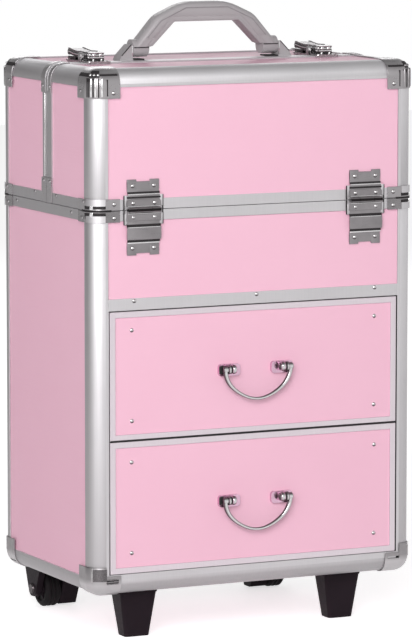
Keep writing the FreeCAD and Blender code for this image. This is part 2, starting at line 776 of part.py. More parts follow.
def half_lid(name, face, seam, inward):
    """One half of the top: boards in an aluminium frame that is open below and at the seam."""
    leg, half = size.rail_leg, inner_half
    inner = face + inward * leg
    rail = size.rim_height
    rails = [
        edge_rail(f"{name}_post", "Z", (half_width, face), (-1, inward), lid_rim, top - leg),
        edge_rail(f"{name}_top_side", "Y", (half_width, top), (-1, -1), inner, seam),
        rim_rail(f"{name}_side_rim", "Y", (half_width, lid_rim), (-1, 1), inner, seam, rail),
        rim_rail(
            f"{name}_seam_side", "Z", (half_width, seam), (-1, -inward), lid_rim + rail,
            top - leg, rail,
        ),
    ]
    rails += [mirrored(rail_piece.Name + "_left", rail_piece, "X") for rail_piece in rails]
    rails += [
        edge_rail(f"{name}_top_long", "X", (face, top), (inward, -1), -half, half),
        rim_rail(f"{name}_long_rim", "X", (face, lid_rim), (inward, 1), -half, half, rail),
        rim_rail(
            f"{name}_seam_top", "X", (seam, top), (-inward, -1), -half, half, rail,
            lies_flat=True,
        ),
    ]
    keep(f"{name}_rails", group(f"{name}_rail_set", rails))

    skin, deep = size.skin, size.skin + size.board
    across = (-half_width + board_edge, half_width - board_edge)
    rim_stop = size.rim_web + size.board_play
    up = (lid_rim + rim_stop, top - board_edge)
    along = (face + inward * board_edge, seam - inward * rim_stop)
    side = block(f"{name}_side_board", (half_width - deep, half_width - skin), along, up)
    boards = [
        block(f"{name}_face_board", across, (face + inward * skin, face + inward * deep), up),
        block(f"{name}_top_board", across, along, (top - deep, top - skin)),
        side,
        mirrored(f"{name}_side_board_left", side, "X"),
    ]
    keep(f"{name}_panels", group(f"{name}_boards", boards))

    off, wall = rail_depth, size.lining
    walls = block(
        f"{name}_lining_block", (-half_width + off, half_width - off),
        (face + inward * off, seam - inward), (lid_rim + 1, top - off),
    )
    hollow = block(
        f"{name}_lining_hollow", (-half_width + off + wall, half_width - off - wall),
        (face + inward * (off + wall), seam + inward), (lid_rim - 1, top - off - wall),
    )
    keep(f"{name}_lining", cut(f"{name}_lining_shell", walls, hollow))


# Trays.

def tray_set(name, face, inward):
    """A compartment tray, its two parallel arms, and the pivots that carry them.

    The lid's hinge, the pivot on the lid, the pivot on the arm and the arm's foot are the
    corners of a parallelogram, so the tray stays level while the lid swings through 90.
    """
    hinge_y = face - inward * size.hinge_offset
    lid_pivot = (hinge_y + inward * size.tray_pivot_in, lid_line + size.tray_pivot_up)
    step = (inward * size.tray_step_in, size.tray_step_up)
    arm_pivot = (lid_pivot[0] + step[0], lid_pivot[1] + step[1])
    arm_foot = (hinge_y + step[0], lid_line + step[1])
    half, wall = size.tray_half, size.tray_wall
    length, height = size.tray_length / 2, size.tray_height / 2
    centre_y, centre_z = lid_pivot

    shell = padded(
        f"{name}_block", "Z",
        [
            (-half, centre_y - length), (half, centre_y - length),
            (half, centre_y + length), (-half, centre_y + length),
        ],
        centre_z - height, centre_z + height, rounds=[(6, [0, 1, 2, 3])],
    )
    cells = []
    dividers = (-half, -half / 3, half / 3, half)
    for low, high in zip(dividers[:-1], dividers[1:]):
        cells.append(padded(
            f"{name}_cell_{len(cells)}", "Z",
            [
                (low + wall, centre_y - length + wall), (high - wall, centre_y - length + wall),
                (high - wall, centre_y + length - wall), (low + wall, centre_y + length - wall),
            ],
            centre_z - height + wall, centre_z + height + 1, rounds=[(4, [0, 1, 2, 3])],
        ))
    lining = half_width - rail_depth - size.lining
    plate_face = lining - 1.5
    arm_inner, arm_outer = size.arm_plane, size.arm_plane + size.arm_steel
    lid_pin = rod(
        f"{name}_lid_pin", "X", lid_pivot, size.tray_pin_radius, half - wall, lining - 0.3
    )
    arm_pin = rod(f"{name}_arm_pin", "X", arm_pivot, size.tray_pin_radius, half - wall, arm_outer)
    boss = rod(f"{name}_boss", "X", arm_pivot, size.arm_width / 2, half - wall, arm_inner - 0.3)
    pins = [lid_pin, arm_pin, boss]
    pins += [mirrored(pin.Name + "_left", pin, "X") for pin in pins]
    keep(name, fuse(f"{name}_body", cut(f"{name}_shell", shell, *cells), *pins))

    hole = size.tray_pin_radius + size.running_gap
    plate_half = size.tray_plate_half
    lid_plate = block(
        f"{name}_lid_plate", (plate_face, lining),
        (centre_y - plate_half, centre_y + plate_half), (centre_z - 8, centre_z + 8),
    )
    lid_bore = rod(f"{name}_lid_bore", "X", lid_pivot, hole, plate_face - 1, lining + 1)
    keep(f"{name}_lid_pivots", pair(f"{name}_lid_plates", cut(
        f"{name}_lid_pivot", lid_plate, lid_bore
    )))

    # each arm is a flat steel link with round ends
    slant = math.atan2(
        (arm_pivot[1] - arm_foot[1]).value, (arm_pivot[0] - arm_foot[0]).value
    )
    normal = (-math.sin(slant) / 2, math.cos(slant) / 2)
    width = size.arm_width
    outline = [
        (end[0] + sign * normal[0] * width, end[1] + sign * normal[1] * width)
        for end, sign in ((arm_foot, 1), (arm_pivot, 1), (arm_pivot, -1), (arm_foot, -1))
    ]
    link = padded(f"{name}_link", "X", outline, arm_inner, arm_outer)
    ends = [
        rod(f"{name}_link_end_{number}", "X", end, width / 2, arm_inner, arm_outer)
        for number, end in enumerate((arm_foot, arm_pivot))
    ]
    bores = [
        rod(f"{name}_link_bore_{number}", "X", end, hole, arm_inner - 1, arm_outer + 1)
        for number, end in enumerate((arm_foot, arm_pivot))
    ]
    arm = cut(f"{name}_arm", fuse(f"{name}_link_body", link, *ends), *bores)
    keep(f"{name}_arms", pair(f"{name}_arm_pair", arm))
    foot_pin = rod(f"{name}_foot_pin", "X", arm_foot, size.tray_pin_radius, arm_inner, lining)
    foot_plate = block(
        f"{name}_foot_plate", (arm_outer + 0.3, lining), (arm_foot[0] - 8, arm_foot[0] + 8),
        (arm_foot[1] - 8, case_rim - 0.5),
    )
    return fuse(f"{name}_foot_pivot", foot_pin, foot_plate)


# Latches.

def latches():
    """Cam latches across the seam: a lever on the rear half-lid holds down the front one's keeper."""
    x, half, lever_half = size.latch_x, size.latch_width / 2, size.latch_lever_width / 2
    front_seam = split - size.split_gap / 2
    rear_seam = split + size.split_gap / 2
    axis_y = rear_seam + size.latch_axis_back
    axis_z = top + size.latch_axis_height
    barrel, cam, knuckle = size.latch_barrel, size.latch_cam, size.latch_knuckle
    plate_top = top + size.latch_plate
    board_face = top - size.skin

    # the keeper on the front half-lid: a plate with a tongue that reaches under the lever's cam
    keeper_plate = padded(
        "latch_keeper_plate", "Z",
        [
            (x - half, front_seam - 16), (x + half, front_seam - 16),
            (x + half, front_seam - 1), (x - half, front_seam - 1),
        ],
        top, plate_top, rounds=[(3, [0, 1])],
    )
    packing = block(
        "latch_keeper_packing", (x - half + 1, x + half - 1),
        (front_seam - 15, front_seam - size.rim_height), (board_face, top + 0.5),
    )
    tongue_low = plate_top + size.latch_tongue_gap
    tongue_high = tongue_low + size.latch_tongue
    tongue_end = axis_y + size.latch_tongue_reach
    tongue = padded(
        "latch_tongue", "X",
        [
            (front_seam - 12, plate_top - 0.3), (front_seam - 1, plate_top - 0.3),
            (front_seam - 1, tongue_low), (tongue_end, tongue_low), (tongue_end, tongue_high),
            (front_seam - 8, tongue_high),
        ],
        x - size.latch_tongue_half, x + size.latch_tongue_half,
    )
    hook_half, hook_top = size.latch_hook_half, top + size.latch_hook_height
    hook_rear, hook_front = front_seam - 1, front_seam - 1 - size.latch_hook_length
    hook = padded(
        "latch_hook", "X",
        [
            (hook_front, top), (hook_rear, top), (hook_rear, hook_top - 1.6),
            (hook_rear - 1.2, hook_top), (hook_front, hook_top),
        ],
        x - hook_half, x + hook_half, rounds=[(3, [4])],
    )
    keeper = fuse("latch_keeper", keeper_plate, packing, tongue, hook)
    keep("latch_keepers", pair("latch_keeper_pair", keeper))

    # the base on the rear half-lid: a plate with two ears, a pin, and the drum the lever shuts on
    base_length = size.latch_base_length
    sheet = padded(
        "latch_base_sheet", "Z",
        [
            (x - half, rear_seam + 1), (x + half, rear_seam + 1),
            (x + half, rear_seam + base_length), (x - half, rear_seam + base_length),
        ],
        top, plate_top, rounds=[(3, [2, 3])],
    )
    seat = block(
        "latch_base_seat", (x - half + 1, x + half - 1),
        (rear_seam + size.rim_height, rear_seam + base_length - 3), (board_face, top + 0.5),
    )
    drum = turned(
        "latch_drum", "Z", (x, rear_seam + base_length * 0.42, top),
        [
            (0, 0), (size.latch_drum_height, 0),
            (size.latch_drum_height, size.latch_drum_radius - 1),
            (size.latch_drum_height - 1, size.latch_drum_radius), (0, size.latch_drum_radius),
        ],
    )
    ears = []
    for side in (-1, 1):
        low, high = sorted((x + side * half, x + side * (half - knuckle)))
        ears.append(rod(f"latch_ear_{len(ears)}", "X", (axis_y, axis_z), barrel, low, high))
        ears.append(block(
            f"latch_ear_{len(ears)}", (low, high), (axis_y - barrel, axis_y + barrel),
            (top, axis_z),
        ))
    pin_bore = rod("latch_pin_bore", "X", (axis_y, axis_z), size.latch_pin, x - half - 1, x + half + 1)
    pin = rod("latch_pin", "X", (axis_y, axis_z), size.latch_pin, x - half, x + half)
    base = cut("latch_base", fuse("latch_base_body", sheet, seat, drum, *ears), pin_bore)
    bases = [base, pin]
    bases += [mirrored(piece.Name + "_left", piece, "X") for piece in bases]
    keep("latch_bases", group("latch_base_set", bases))

    # the lever is cast: a barrel with a cam under it, an arched arm, and a curled finger lip
    length = size.latch_lever_length
    under, over = axis_z - barrel + 0.2, axis_z + barrel + 0.7
    arm = padded(
        "latch_lever_arm", "X",
        [
            (axis_y, under), (axis_y + length * 0.45, under - 0.6),
            (axis_y + length * 0.8, under + 0.9), (axis_y + length * 0.94, under + 0.5),
            (axis_y + length, under + 1.7), (axis_y + length * 0.98, over + 1.7),
            (axis_y + length * 0.86, over + 1.6), (axis_y + length * 0.4, over - 0.2),
            (axis_y, over),
        ],
        x - lever_half, x + lever_half, rounds=[(1.2, [4, 5]), (14, [7])],
    )
    slack = knuckle + 0.3
    lever_barrel = rod(
        "latch_lever_barrel", "X", (axis_y, axis_z), barrel, x - half + slack, x + half - slack
    )
    lever_cam = padded(
        "latch_lever_cam", "X",
        [
            (axis_y - 1.8, axis_z), (axis_y - 1.8, axis_z - cam + 0.7), (axis_y - 1, axis_z - cam),
            (axis_y + 1.4, axis_z - cam), (axis_y + 2.2, axis_z - cam + 1.4),
            (axis_y + 2.2, axis_z),
        ],
        x - size.latch_tongue_half - 1, x + size.latch_tongue_half + 1,
    )
    notches = []
    for side in (-1, 1):
        limits = (x + side * (half - slack), x + side * (half + 1))
        notches.append(block(
            f"latch_lever_notch_{len(notches)}", limits, (axis_y - 5, axis_y + barrel + 0.6),
            (axis_z - 5, axis_z + 5),
        ))
    lever_bore = rod(
        "latch_lever_bore", "X", (axis_y, axis_z), size.latch_pin + size.running_gap,
        x - half, x + half,
    )
    lever_body = fuse("latch_lever_body", arm, lever_barrel, lever_cam)
    lever = cut("latch_lever", lever_body, lever_bore, *notches)
    keep("right_latch_lever", lever)
    keep("left_latch_lever", mirrored("latch_lever_left", lever, "X"))


# Carry handle.

def carry_handle():
    """A moulded arch that folds back between two cast wedge brackets on the rear half-lid."""
    y = split + size.handle_setback
    pivot_z = top + size.handle_pivot_height
    depth, end = size.handle_depth, size.handle_end_radius
    half, width = size.handle_half, size.handle_end_width
    crown_z = top + size.handle_rise
    grip_z = crown_z - size.handle_grip_height
    shoulder, shoulder_z = size.handle_shoulder, top + size.handle_shoulder_rise
    crown, inner_shoulder = size.handle_crown, size.handle_inner_shoulder
    spring_z, inner = top + size.handle_spring, size.handle_inner_spring
    low = pivot_z - end

    # each arm runs on below its spring to a square end, and is trimmed level afterwards
    drop = spring_z - low
    inner_drop = drop + 11
    outer_foot = half + (half - shoulder) / (shoulder_z - spring_z) * drop
    inner_foot = inner + (inner - inner_shoulder) / (grip_z - spring_z) * inner_drop
    inner_low = spring_z - inner_drop
    outline = [
        (outer_foot, low), (shoulder, shoulder_z), (crown, crown_z), (-crown, crown_z),
        (-shoulder, shoulder_z), (-outer_foot, low), (-inner_foot, inner_low),
        (-inner_shoulder, grip_z), (inner_shoulder, grip_z), (inner_foot, inner_low),
    ]
    arch = padded(
        "handle_arch", "Y", outline, y - depth / 2, y + depth / 2,
        rounds=[(26, [1, 4]), (55, [2, 3]), (12, [7, 8])],
    )
    pad = arch.Tip
    faces = (y.value - depth.value / 2, y.value + depth.value / 2)

    def on_rim(edge):
        points = [vertex.Point for vertex in edge.Vertexes]
        on_face = any(all(abs(point.y - face) < 0.01 for point in points) for face in faces)
        return on_face and max(point.z for point in points) > spring_z.value

    rounded(arch, pad, edges_where(pad.Shape, on_rim), size.handle_round)
    ends = []
    for number, side in enumerate((1, -1)):
        limits = sorted((side * half, side * (half - width)))
        heel = rod(f"handle_heel_{number}", "X", (y, pivot_z), end, *limits)
        cheek = block(
            f"handle_cheek_{number}", limits, (y - end, y + end), (pivot_z, spring_z)
        )
        ends.append(fuse(f"handle_end_{number}", heel, cheek))
    reach = outer_foot + 1
    trim = block(
        "handle_trim", (-reach, reach), (y - depth, y + depth), (inner_low - 1, spring_z)
    )
    bore_radius = size.handle_pin_radius + size.running_gap
    bores = [
        rod("handle_bore_0", "X", (y, pivot_z), bore_radius, half - width / 2, half + 1),
        rod("handle_bore_1", "X", (y, pivot_z), bore_radius, -half - 1, -half + width / 2),
    ]
    body = fuse("handle_body", cut("handle_arch_trimmed", arch, trim), *ends)
    keep("carry_handle", cut("handle", body, *bores))

    toe, near = size.handle_bracket_toe, half + 0.5
    rise = top + size.handle_bracket_rise
    wedge = padded(
        "handle_wedge", "Y",
        [
            (near, top), (toe, top), (toe - 2.5, top + 5), (near + 1.8, rise), (near, rise),
        ],
        y - size.handle_bracket_depth / 2, y + size.handle_bracket_depth / 2,
        rounds=[(5, [2]), (1.5, [3])],
    )
    pin = rod(
        "handle_pin", "X", (y, pivot_z), size.handle_pin_radius, half - width / 2 + 0.5, near + 2
    )
    seat = block(
        "handle_bracket_seat", (near + 1, toe - 1),
        (split + size.split_gap / 2 + size.rim_height, y + size.handle_bracket_depth / 2),
        (top - size.skin, top + 1),
    )
    keep("handle_brackets", pair("handle_bracket_pair", fuse(
        "handle_bracket", wedge, seat, pin
    )))


# Feet and wheels.

def front_feet():
    """Tapered moulded feet with a thin rim under the case."""
    x, y = size.foot_x, front + size.foot_setback
    top_half = (size.foot_top_x / 2, size.foot_top_y / 2)
    tip_half = (size.foot_tip_x / 2, size.foot_tip_y / 2)
    rim_low = bottom - size.foot_rim
    post = lofted("foot_post", 0, rim_low, tip_half, top_half, (x, y), 4)
    lip = size.foot_rim_lip
    rim = padded(
        "foot_rim_plate", "Z",
        around((x, y), (1, 1), [
            (-top_half[0] - lip, -top_half[1] - lip), (top_half[0] + lip, -top_half[1] - lip),
            (top_half[0] + lip, top_half[1] + lip), (-top_half[0] - lip, top_half[1] + lip),
        ]),
        rim_low, bottom + size.skin, rounds=[(5, [0, 1, 2, 3])],
    )
    keep("front_feet", pair("feet", fuse("foot", post, rim)))


def wheels():
    """A moulded bracket at each rear corner, with a wheel between its two cheeks."""
    axle_y = rear + size.rear_reach - size.wheel_radius
    axle_z = size.wheel_radius
    inner, outer = size.bracket_inner, size.bracket_outer
    half = size.bracket_cheek_half
    boss = size.bracket_boss
    under = bottom - size.bracket_plate
    back = axle_y + half
    cheek = padded(
        "bracket_outer_cheek", "X",
        [
            (axle_y - half, under), (back, under), (back, under - 4),
            (axle_y + boss, axle_z - 5), (axle_y + boss / 2, axle_z - boss),
            (axle_y - boss / 2, axle_z - boss), (axle_y - boss, axle_z - 5),
            (axle_y - half, under - 4),
        ],
        outer - size.bracket_cheek, outer, rounds=[(3, [3, 4, 5, 6])],
    )
    wheel_edge = size.wheel_x - size.wheel_width / 2
    inner_cheek = padded(
        "bracket_inner_cheek", "X",
        [
            (axle_y - half - 10, under), (back, under), (back, under - 6), (axle_y + 7, 2),
            (axle_y - 8, 2), (axle_y - half - 7, under - 6),
        ],
        inner, wheel_edge - 1.2, rounds=[(3, [3, 4])],
    )
    plate = block(
        "bracket_plate", (inner, outer), (axle_y - half - 13, back), (under, bottom)
    )
    flange = block(
        "bracket_flange", (inner, outer), (rear, rear + size.bracket_plate),
        (under, bottom + size.bracket_flange_height),
    )
    bore = rod("bracket_bore", "X", (axle_y, axle_z), size.axle_radius, inner + 8, outer + 1)
    body = fuse("bracket_body", cheek, inner_cheek, plate, flange)
    keep("wheel_brackets", pair("bracket_pair", cut("wheel_bracket", body, bore)))
    axle = turned(
        "axle", "X", (0, axle_y, axle_z),
        [
            (inner + 8, 0), (outer + 2, 0), (outer + 2, 4.5), (outer, 5.5),
            (outer, size.axle_radius), (inner + 8, size.axle_radius),
        ],
    )
    keep("wheel_axles", pair("axles", axle))

    radius, width = size.wheel_radius, size.wheel_width
    bore_radius = size.axle_radius + size.running_gap
    left_side, right_side = size.wheel_x - width / 2, size.wheel_x + width / 2
    outline = [
        (left_side, bore_radius), (left_side, 7), (left_side + 2, 8.5), (left_side + 2, 13),
        (left_side, 14), (left_side, radius - 2.5), (left_side + 2.5, radius),
        (left_side + 5, radius), (left_side + 5.6, radius - 1.2),
        (left_side + 6.8, radius - 1.2), (left_side + 7.4, radius),
        (right_side - 7.4, radius), (right_side - 6.8, radius - 1.2),
        (right_side - 5.6, radius - 1.2), (right_side - 5, radius),
        (right_side - 2.5, radius), (right_side, radius - 2.5), (right_side, 14),
        (right_side - 2, 13), (right_side - 2, 8.5), (right_side, 7), (right_side, bore_radius),
    ]
    wheel = turned("wheel", "X", (0, axle_y, axle_z), outline)
    keep("right_wheel", wheel)
    keep("left_wheel", mirrored("wheel_left", wheel, "X"))


# Telescopic handle.

def oblong(centre, half):
    """The four corners of a rectangle about a centre."""
    return around(centre, (1, 1), [
        (-half[0], -half[1]), (half[0], -half[1]), (half[0], half[1]), (-half[0], half[1])
    ])


def telescopic_handle():
    """Two flat tubes on the back, two telescoping stages, and a grip with its button."""
    y = rear + size.tube_setback
    centre = (size.tube_x, y)
    wall, play = size.tube_wall, size.tube_play
    half = (size.tube_width / 2, size.tube_depth / 2)
    hollow = (half[0] - wall, half[1] - wall)
    middle_half = (hollow[0] - play, hollow[1] - play)
    middle_hollow = (middle_half[0] - wall, middle_half[1] - wall)
    inner_half = (middle_hollow[0] - play, middle_hollow[1] - play)
    low, high = bottom + size.tube_low, bottom + size.tube_high
    outer_tube = padded(
        "outer_tube", "Z", oblong(centre, half), low, high, rounds=[(3, [0, 1, 2, 3])],
        holes=[oblong(centre, hollow)],
    )
    keep("trolley_outer_tubes", pair("outer_tubes", outer_tube))
    middle_tube = padded(
        "middle_tube", "Z", oblong(centre, middle_half), low + 8, bottom + size.collar_high - 2,
        rounds=[(1.5, [0, 1, 2, 3])], holes=[oblong(centre, middle_hollow)],
    )
    keep("trolley_middle_tubes", pair("middle_tubes", middle_tube))
    grip_low, grip_high = bottom + size.grip_low, bottom + size.grip_high
    leg_top = grip_low + 12
    inner_tube = padded(
        "inner_tube", "Z", oblong(centre, inner_half), low + 14, leg_top,
        rounds=[(1, [0, 1, 2, 3])],
    )
    keep("trolley_inner_tubes", pair("inner_tubes", inner_tube))

    brackets = []
    sockets = (
        ("foot", size.foot_bracket_low, size.foot_bracket_high, half, size.tube_low),
        ("collar", size.collar_low, size.collar_high, half, size.collar_low - 1),
    )
    for name, bar_low, bar_high, socket, socket_low in sockets:
        bar = padded(
            f"trolley_{name}_bar", "Z",
            [
                (-size.collar_half, rear), (size.collar_half, rear),
                (size.collar_half, rear + size.collar_depth),
                (-size.collar_half, rear + size.collar_depth),
            ],
            bottom + bar_low, bottom + bar_high, rounds=[(6, [2, 3])],
        )
        stop = size.tube_high if name == "collar" else bar_high + 1
        hole = block(
            f"trolley_{name}_socket", (centre[0] - socket[0], centre[0] + socket[0]),
            (y - socket[1], y + socket[1]), (bottom + socket_low, bottom + stop),
        )
        tools = [hole, mirrored(f"trolley_{name}_socket_left", hole, "X")]
        if name == "collar":
            way = block(
                "trolley_collar_way", (centre[0] - middle_half[0] - play, centre[0] + middle_half[0] + play),
                (y - middle_half[1] - play, y + middle_half[1] + play),
                (bottom + stop - 1, bottom + bar_high + 1),
            )
            tools += [way, mirrored("trolley_collar_way_left", way, "X")]
        brackets.append(cut(f"trolley_{name}", bar, *tools))
    keep("trolley_brackets", group("trolley_bracket_set", brackets))

    grip_half, leg, gap = size.grip_half, size.grip_leg, size.grip_gap
    outline = [
        (-grip_half, grip_low), (-grip_half, grip_high), (grip_half, grip_high),
        (grip_half, grip_low), (grip_half - leg, grip_low), (grip_half - leg, grip_low + gap),
        (leg - grip_half, grip_low + gap), (leg - grip_half, grip_low),
    ]
    grip_front, grip_rear = rear + 2, rear + size.collar_depth - 0.5
    bar = padded(
        "grip_bar", "Y", outline, grip_front, grip_rear,
        rounds=[(8, [1, 2]), (4, [5, 6])],
    )
    button_half, button_y = size.button_half, size.button_depth / 2
    centre_y = (grip_front + grip_rear) / 2
    pocket_low = grip_high - 5
    pocket = block(
        "button_pocket", (-button_half - play, button_half + play),
        (centre_y - button_y - play, centre_y + button_y + play), (pocket_low, grip_high + 1),
    )
    socket = block(
        "grip_socket", (centre[0] - inner_half[0], centre[0] + inner_half[0]),
        (y - inner_half[1], y + inner_half[1]), (grip_low - 1, leg_top),
    )
    keep("trolley_grip", cut(
        "grip", bar, pocket, socket, mirrored("grip_socket_left", socket, "X")
    ))
    button = padded(
        "button", "Z", oblong((0, centre_y), (button_half, button_y)),
        pocket_low + size.button_proud + 0.2, grip_high + size.button_proud,
        rounds=[(2.5, [0, 1, 2, 3])],
    )
    keep("trolley_release_button", button)


# The whole case.

def hardware():
    """Corner pieces, hinges and tray pivots, mirrored from one of each kind."""
    middle_z = (bottom + top) / 2
    cap = corner_cap()
    cap_left = mirrored("corner_cap_left", cap, "X")
    rear_cap = mirrored("corner_cap_rear", cap, "Y", shift)
    rear_cap_left = mirrored("corner_cap_rear_left", rear_cap, "X")
    foot = foot_cap()
    low_caps = [foot, mirrored("foot_cap_left", foot, "X")]
    low_caps += [
        mirrored(piece.Name + "_low", piece, "Z", middle_z) for piece in (rear_cap, rear_cap_left)
    ]
    keep("case_bottom_corner_caps", group("low_caps", low_caps))

    rim = rim_cap()
    rim_left = mirrored("rim_cap_left", rim, "X")
    rear_rim = mirrored("rim_cap_rear", rim, "Y", shift)
    rear_rim_left = mirrored("rim_cap_rear_left", rear_rim, "X")
    low_rims = [
        mirrored(piece.Name + "_low", piece, "Z", lid_line)
        for piece in (rim, rim_left, rear_rim, rear_rim_left)
    ]
    keep("case_rim_corner_caps", group("low_rim_caps", low_rims))

    front_seam = seam_caps("front", split - size.split_gap / 2, 1)
    rear_seam = seam_caps("rear", split + size.split_gap / 2, -1)
    for name, caps, seam in (
        ("front_lid", [cap, cap_left, rim, rim_left], front_seam),
        ("rear_lid", [rear_cap, rear_cap_left, rear_rim, rear_rim_left], rear_seam),
    ):
        seam += [mirrored(piece.Name + "_left", piece, "X") for piece in seam]
        keep(f"{name}_corner_caps", group(f"{name}_caps", caps + seam))

    upper, lower, pin = hinge_leaves("hinge", front, -1)
    leaves = {"lid": upper, "case": lower, "pin": pin}
    rear_leaves = {
        owner: mirrored(piece.Name + "_rear", piece, "Y", shift)
        for owner, piece in leaves.items()
    }
    keep("front_lid_hinge_leaves", pair("front_lid_leaves", leaves["lid"]))
    keep("rear_lid_hinge_leaves", pair("rear_lid_leaves", rear_leaves["lid"]))
    for node, owner in (("case_hinge_leaves", "case"), ("hinge_pins", "pin")):
        sides = [leaves[owner], rear_leaves[owner]]
        sides += [mirrored(piece.Name + "_left", piece, "X") for piece in sides]
        keep(node, group(node + "_set", sides))


def build():
    case_posts()
    case_rails()
    case_boards()
    case_lining()
    half_lid("front_lid", front, split - size.split_gap / 2, 1)
    half_lid("rear_lid", rear, split + size.split_gap / 2, -1)
    hardware()
    upper = drawer("upper_drawer", size.upper_drawer_low, size.upper_drawer_high, size.upper_pull_z)
    lower = drawer("lower_drawer", size.lower_drawer_low, size.lower_drawer_high, size.lower_pull_z)
    channels = runner("upper_runner", upper) + runner("lower_runner", lower)
    keep("drawer_runner_channels", group("runner_set", channels))
    pivots = [tray_set("front_tray", front, 1), tray_set("rear_tray", rear, -1)]
    pivots += [mirrored(piece.Name + "_left", piece, "X") for piece in pivots]
    keep("case_tray_pivots", group("tray_pivot_set", pivots))
    latches()
    carry_handle()
    front_feet()
    wheels()
    telescopic_handle()


build()
document.recompute()

faults = [item.Name for item in document.Objects if {"Invalid", "Error"} & set(item.State)]
for node, item in nodes.items():
    if item.Shape.isNull() or not item.Shape.isValid() or not item.Shape.Solids:
        faults.append(node)
if faults:
    raise SystemExit("not built: " + ", ".join(faults))

os.makedirs("parts", exist_ok=True)
for node, item in nodes.items():
    item.Shape.exportStep(f"parts/{node}.step")
print(f"{len(nodes)} nodes")
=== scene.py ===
import json
import math

import bmesh
import bpy
from mathutils import Matrix, Vector

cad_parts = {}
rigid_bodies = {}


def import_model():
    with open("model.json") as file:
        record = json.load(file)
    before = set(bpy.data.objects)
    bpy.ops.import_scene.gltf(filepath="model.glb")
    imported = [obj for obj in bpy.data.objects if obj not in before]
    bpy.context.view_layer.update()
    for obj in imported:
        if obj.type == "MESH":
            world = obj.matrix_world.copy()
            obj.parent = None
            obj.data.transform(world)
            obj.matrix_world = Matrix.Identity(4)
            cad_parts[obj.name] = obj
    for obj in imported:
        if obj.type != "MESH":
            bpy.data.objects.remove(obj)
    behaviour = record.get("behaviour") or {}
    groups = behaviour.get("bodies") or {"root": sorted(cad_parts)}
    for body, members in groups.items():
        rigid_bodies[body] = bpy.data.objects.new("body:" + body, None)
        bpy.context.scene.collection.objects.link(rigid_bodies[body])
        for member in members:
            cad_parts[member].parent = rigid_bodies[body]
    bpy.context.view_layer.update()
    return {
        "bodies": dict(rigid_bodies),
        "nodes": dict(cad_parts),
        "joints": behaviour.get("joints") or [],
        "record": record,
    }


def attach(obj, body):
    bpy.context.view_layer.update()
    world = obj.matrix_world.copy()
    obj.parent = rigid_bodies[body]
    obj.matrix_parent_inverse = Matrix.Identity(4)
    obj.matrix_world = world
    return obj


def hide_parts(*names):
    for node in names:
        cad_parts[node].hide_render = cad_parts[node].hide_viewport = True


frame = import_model()
nodes = frame["nodes"]


# The viewpoint. The case is seen from the left of its front and a little from above, from far
# enough away that its upright edges stay nearly parallel.

VIEW_TARGET = Vector((-0.0004, -0.0039, 0.3066))
VIEW_AZIMUTH = math.radians(-25.76)
VIEW_ELEVATION = math.radians(7.05)
VIEW_DISTANCE = 4.533
VIEW_LENS = 247.84

towards_camera = Vector((
    math.sin(VIEW_AZIMUTH) * math.cos(VIEW_ELEVATION),
    -math.cos(VIEW_AZIMUTH) * math.cos(VIEW_ELEVATION),
    math.sin(VIEW_ELEVATION),
))
camera = bpy.data.objects.new("camera", bpy.data.cameras.new("camera"))
bpy.context.scene.collection.objects.link(camera)
camera.location = VIEW_TARGET + towards_camera * VIEW_DISTANCE
camera.rotation_mode = "QUATERNION"
camera.rotation_quaternion = (-towards_camera).to_track_quat("-Z", "Y")
camera.data.lens = VIEW_LENS
camera.data.sensor_width = 36
camera.data.clip_end = 50
bpy.context.scene.camera = camera
bpy.context.scene.view_settings.view_transform = "Standard"


# The studio. A plain pale floor, a pale sky that is darker overhead and behind on the left, as in
# a room with white walls and an unlit ceiling, and three soft lamps: front, left and back.

FLOOR_COLOUR = (0.85, 0.85, 0.85, 1)
FLOOR_HALF = 6.0
FLOOR_ROUGHNESS = 0.9
FLOOR_SEEN_GLOW = 0.66
FLOOR_MIRRORED_GLOW = 0.50
SKY_LIGHT = 0.52
SKY_OVERHEAD = 0.37
SKY_BEHIND_LEFT = 0.40
CEILING_EDGE = (0.25, 0.95)
WALL_EDGE = (-1.0, 0.5)
TOWARDS_BRIGHT_WALL = (0.30, -0.95, 0)
LAMP_AIM = Vector((0, 0, 0.3))


def softbox(name, place, size, power):
    """A round lamp with a soft face, turned to the case."""
    lamp = bpy.data.lights.new(name, "AREA")
    lamp.shape = "DISK"
    lamp.size = size
    lamp.energy = power
    holder = bpy.data.objects.new(name, lamp)
    bpy.context.scene.collection.objects.link(holder)
    holder.location = place
    holder.rotation_mode = "QUATERNION"
    holder.rotation_quaternion = (LAMP_AIM - Vector(place)).to_track_quat("-Z", "Y")


def reckoned(tree, operation, *values):
    """One step of arithmetic in a node tree, on numbers and on what other nodes give."""
    step = tree.nodes.new("ShaderNodeMath")
    step.operation = operation
    for socket, value in zip(step.inputs, values):
        if isinstance(value, (int, float)):
            socket.default_value = value
        else:
            tree.links.new(value, socket)
    return step.outputs[0]


def ramped(tree, value, start, end, low, high, easing="LINEAR"):
    """A number that goes from low to high as value goes from start to end."""
    ramp = tree.nodes.new("ShaderNodeMapRange")
    ramp.interpolation_type = easing
    for socket, number in (("From Min", start), ("From Max", end), ("To Min", low), ("To Max", high)):
        ramp.inputs[socket].default_value = number
    tree.links.new(value, ramp.inputs["Value"])
    return ramp.outputs["Result"]


softbox("key_lamp", (-1.9, -3.0, 1.7), 2.2, 92)
softbox("side_lamp", (-2.9, -1.6, 0.9), 1.3, 6)
softbox("back_lamp", (1.0, 2.6, 1.8), 1.6, 12)

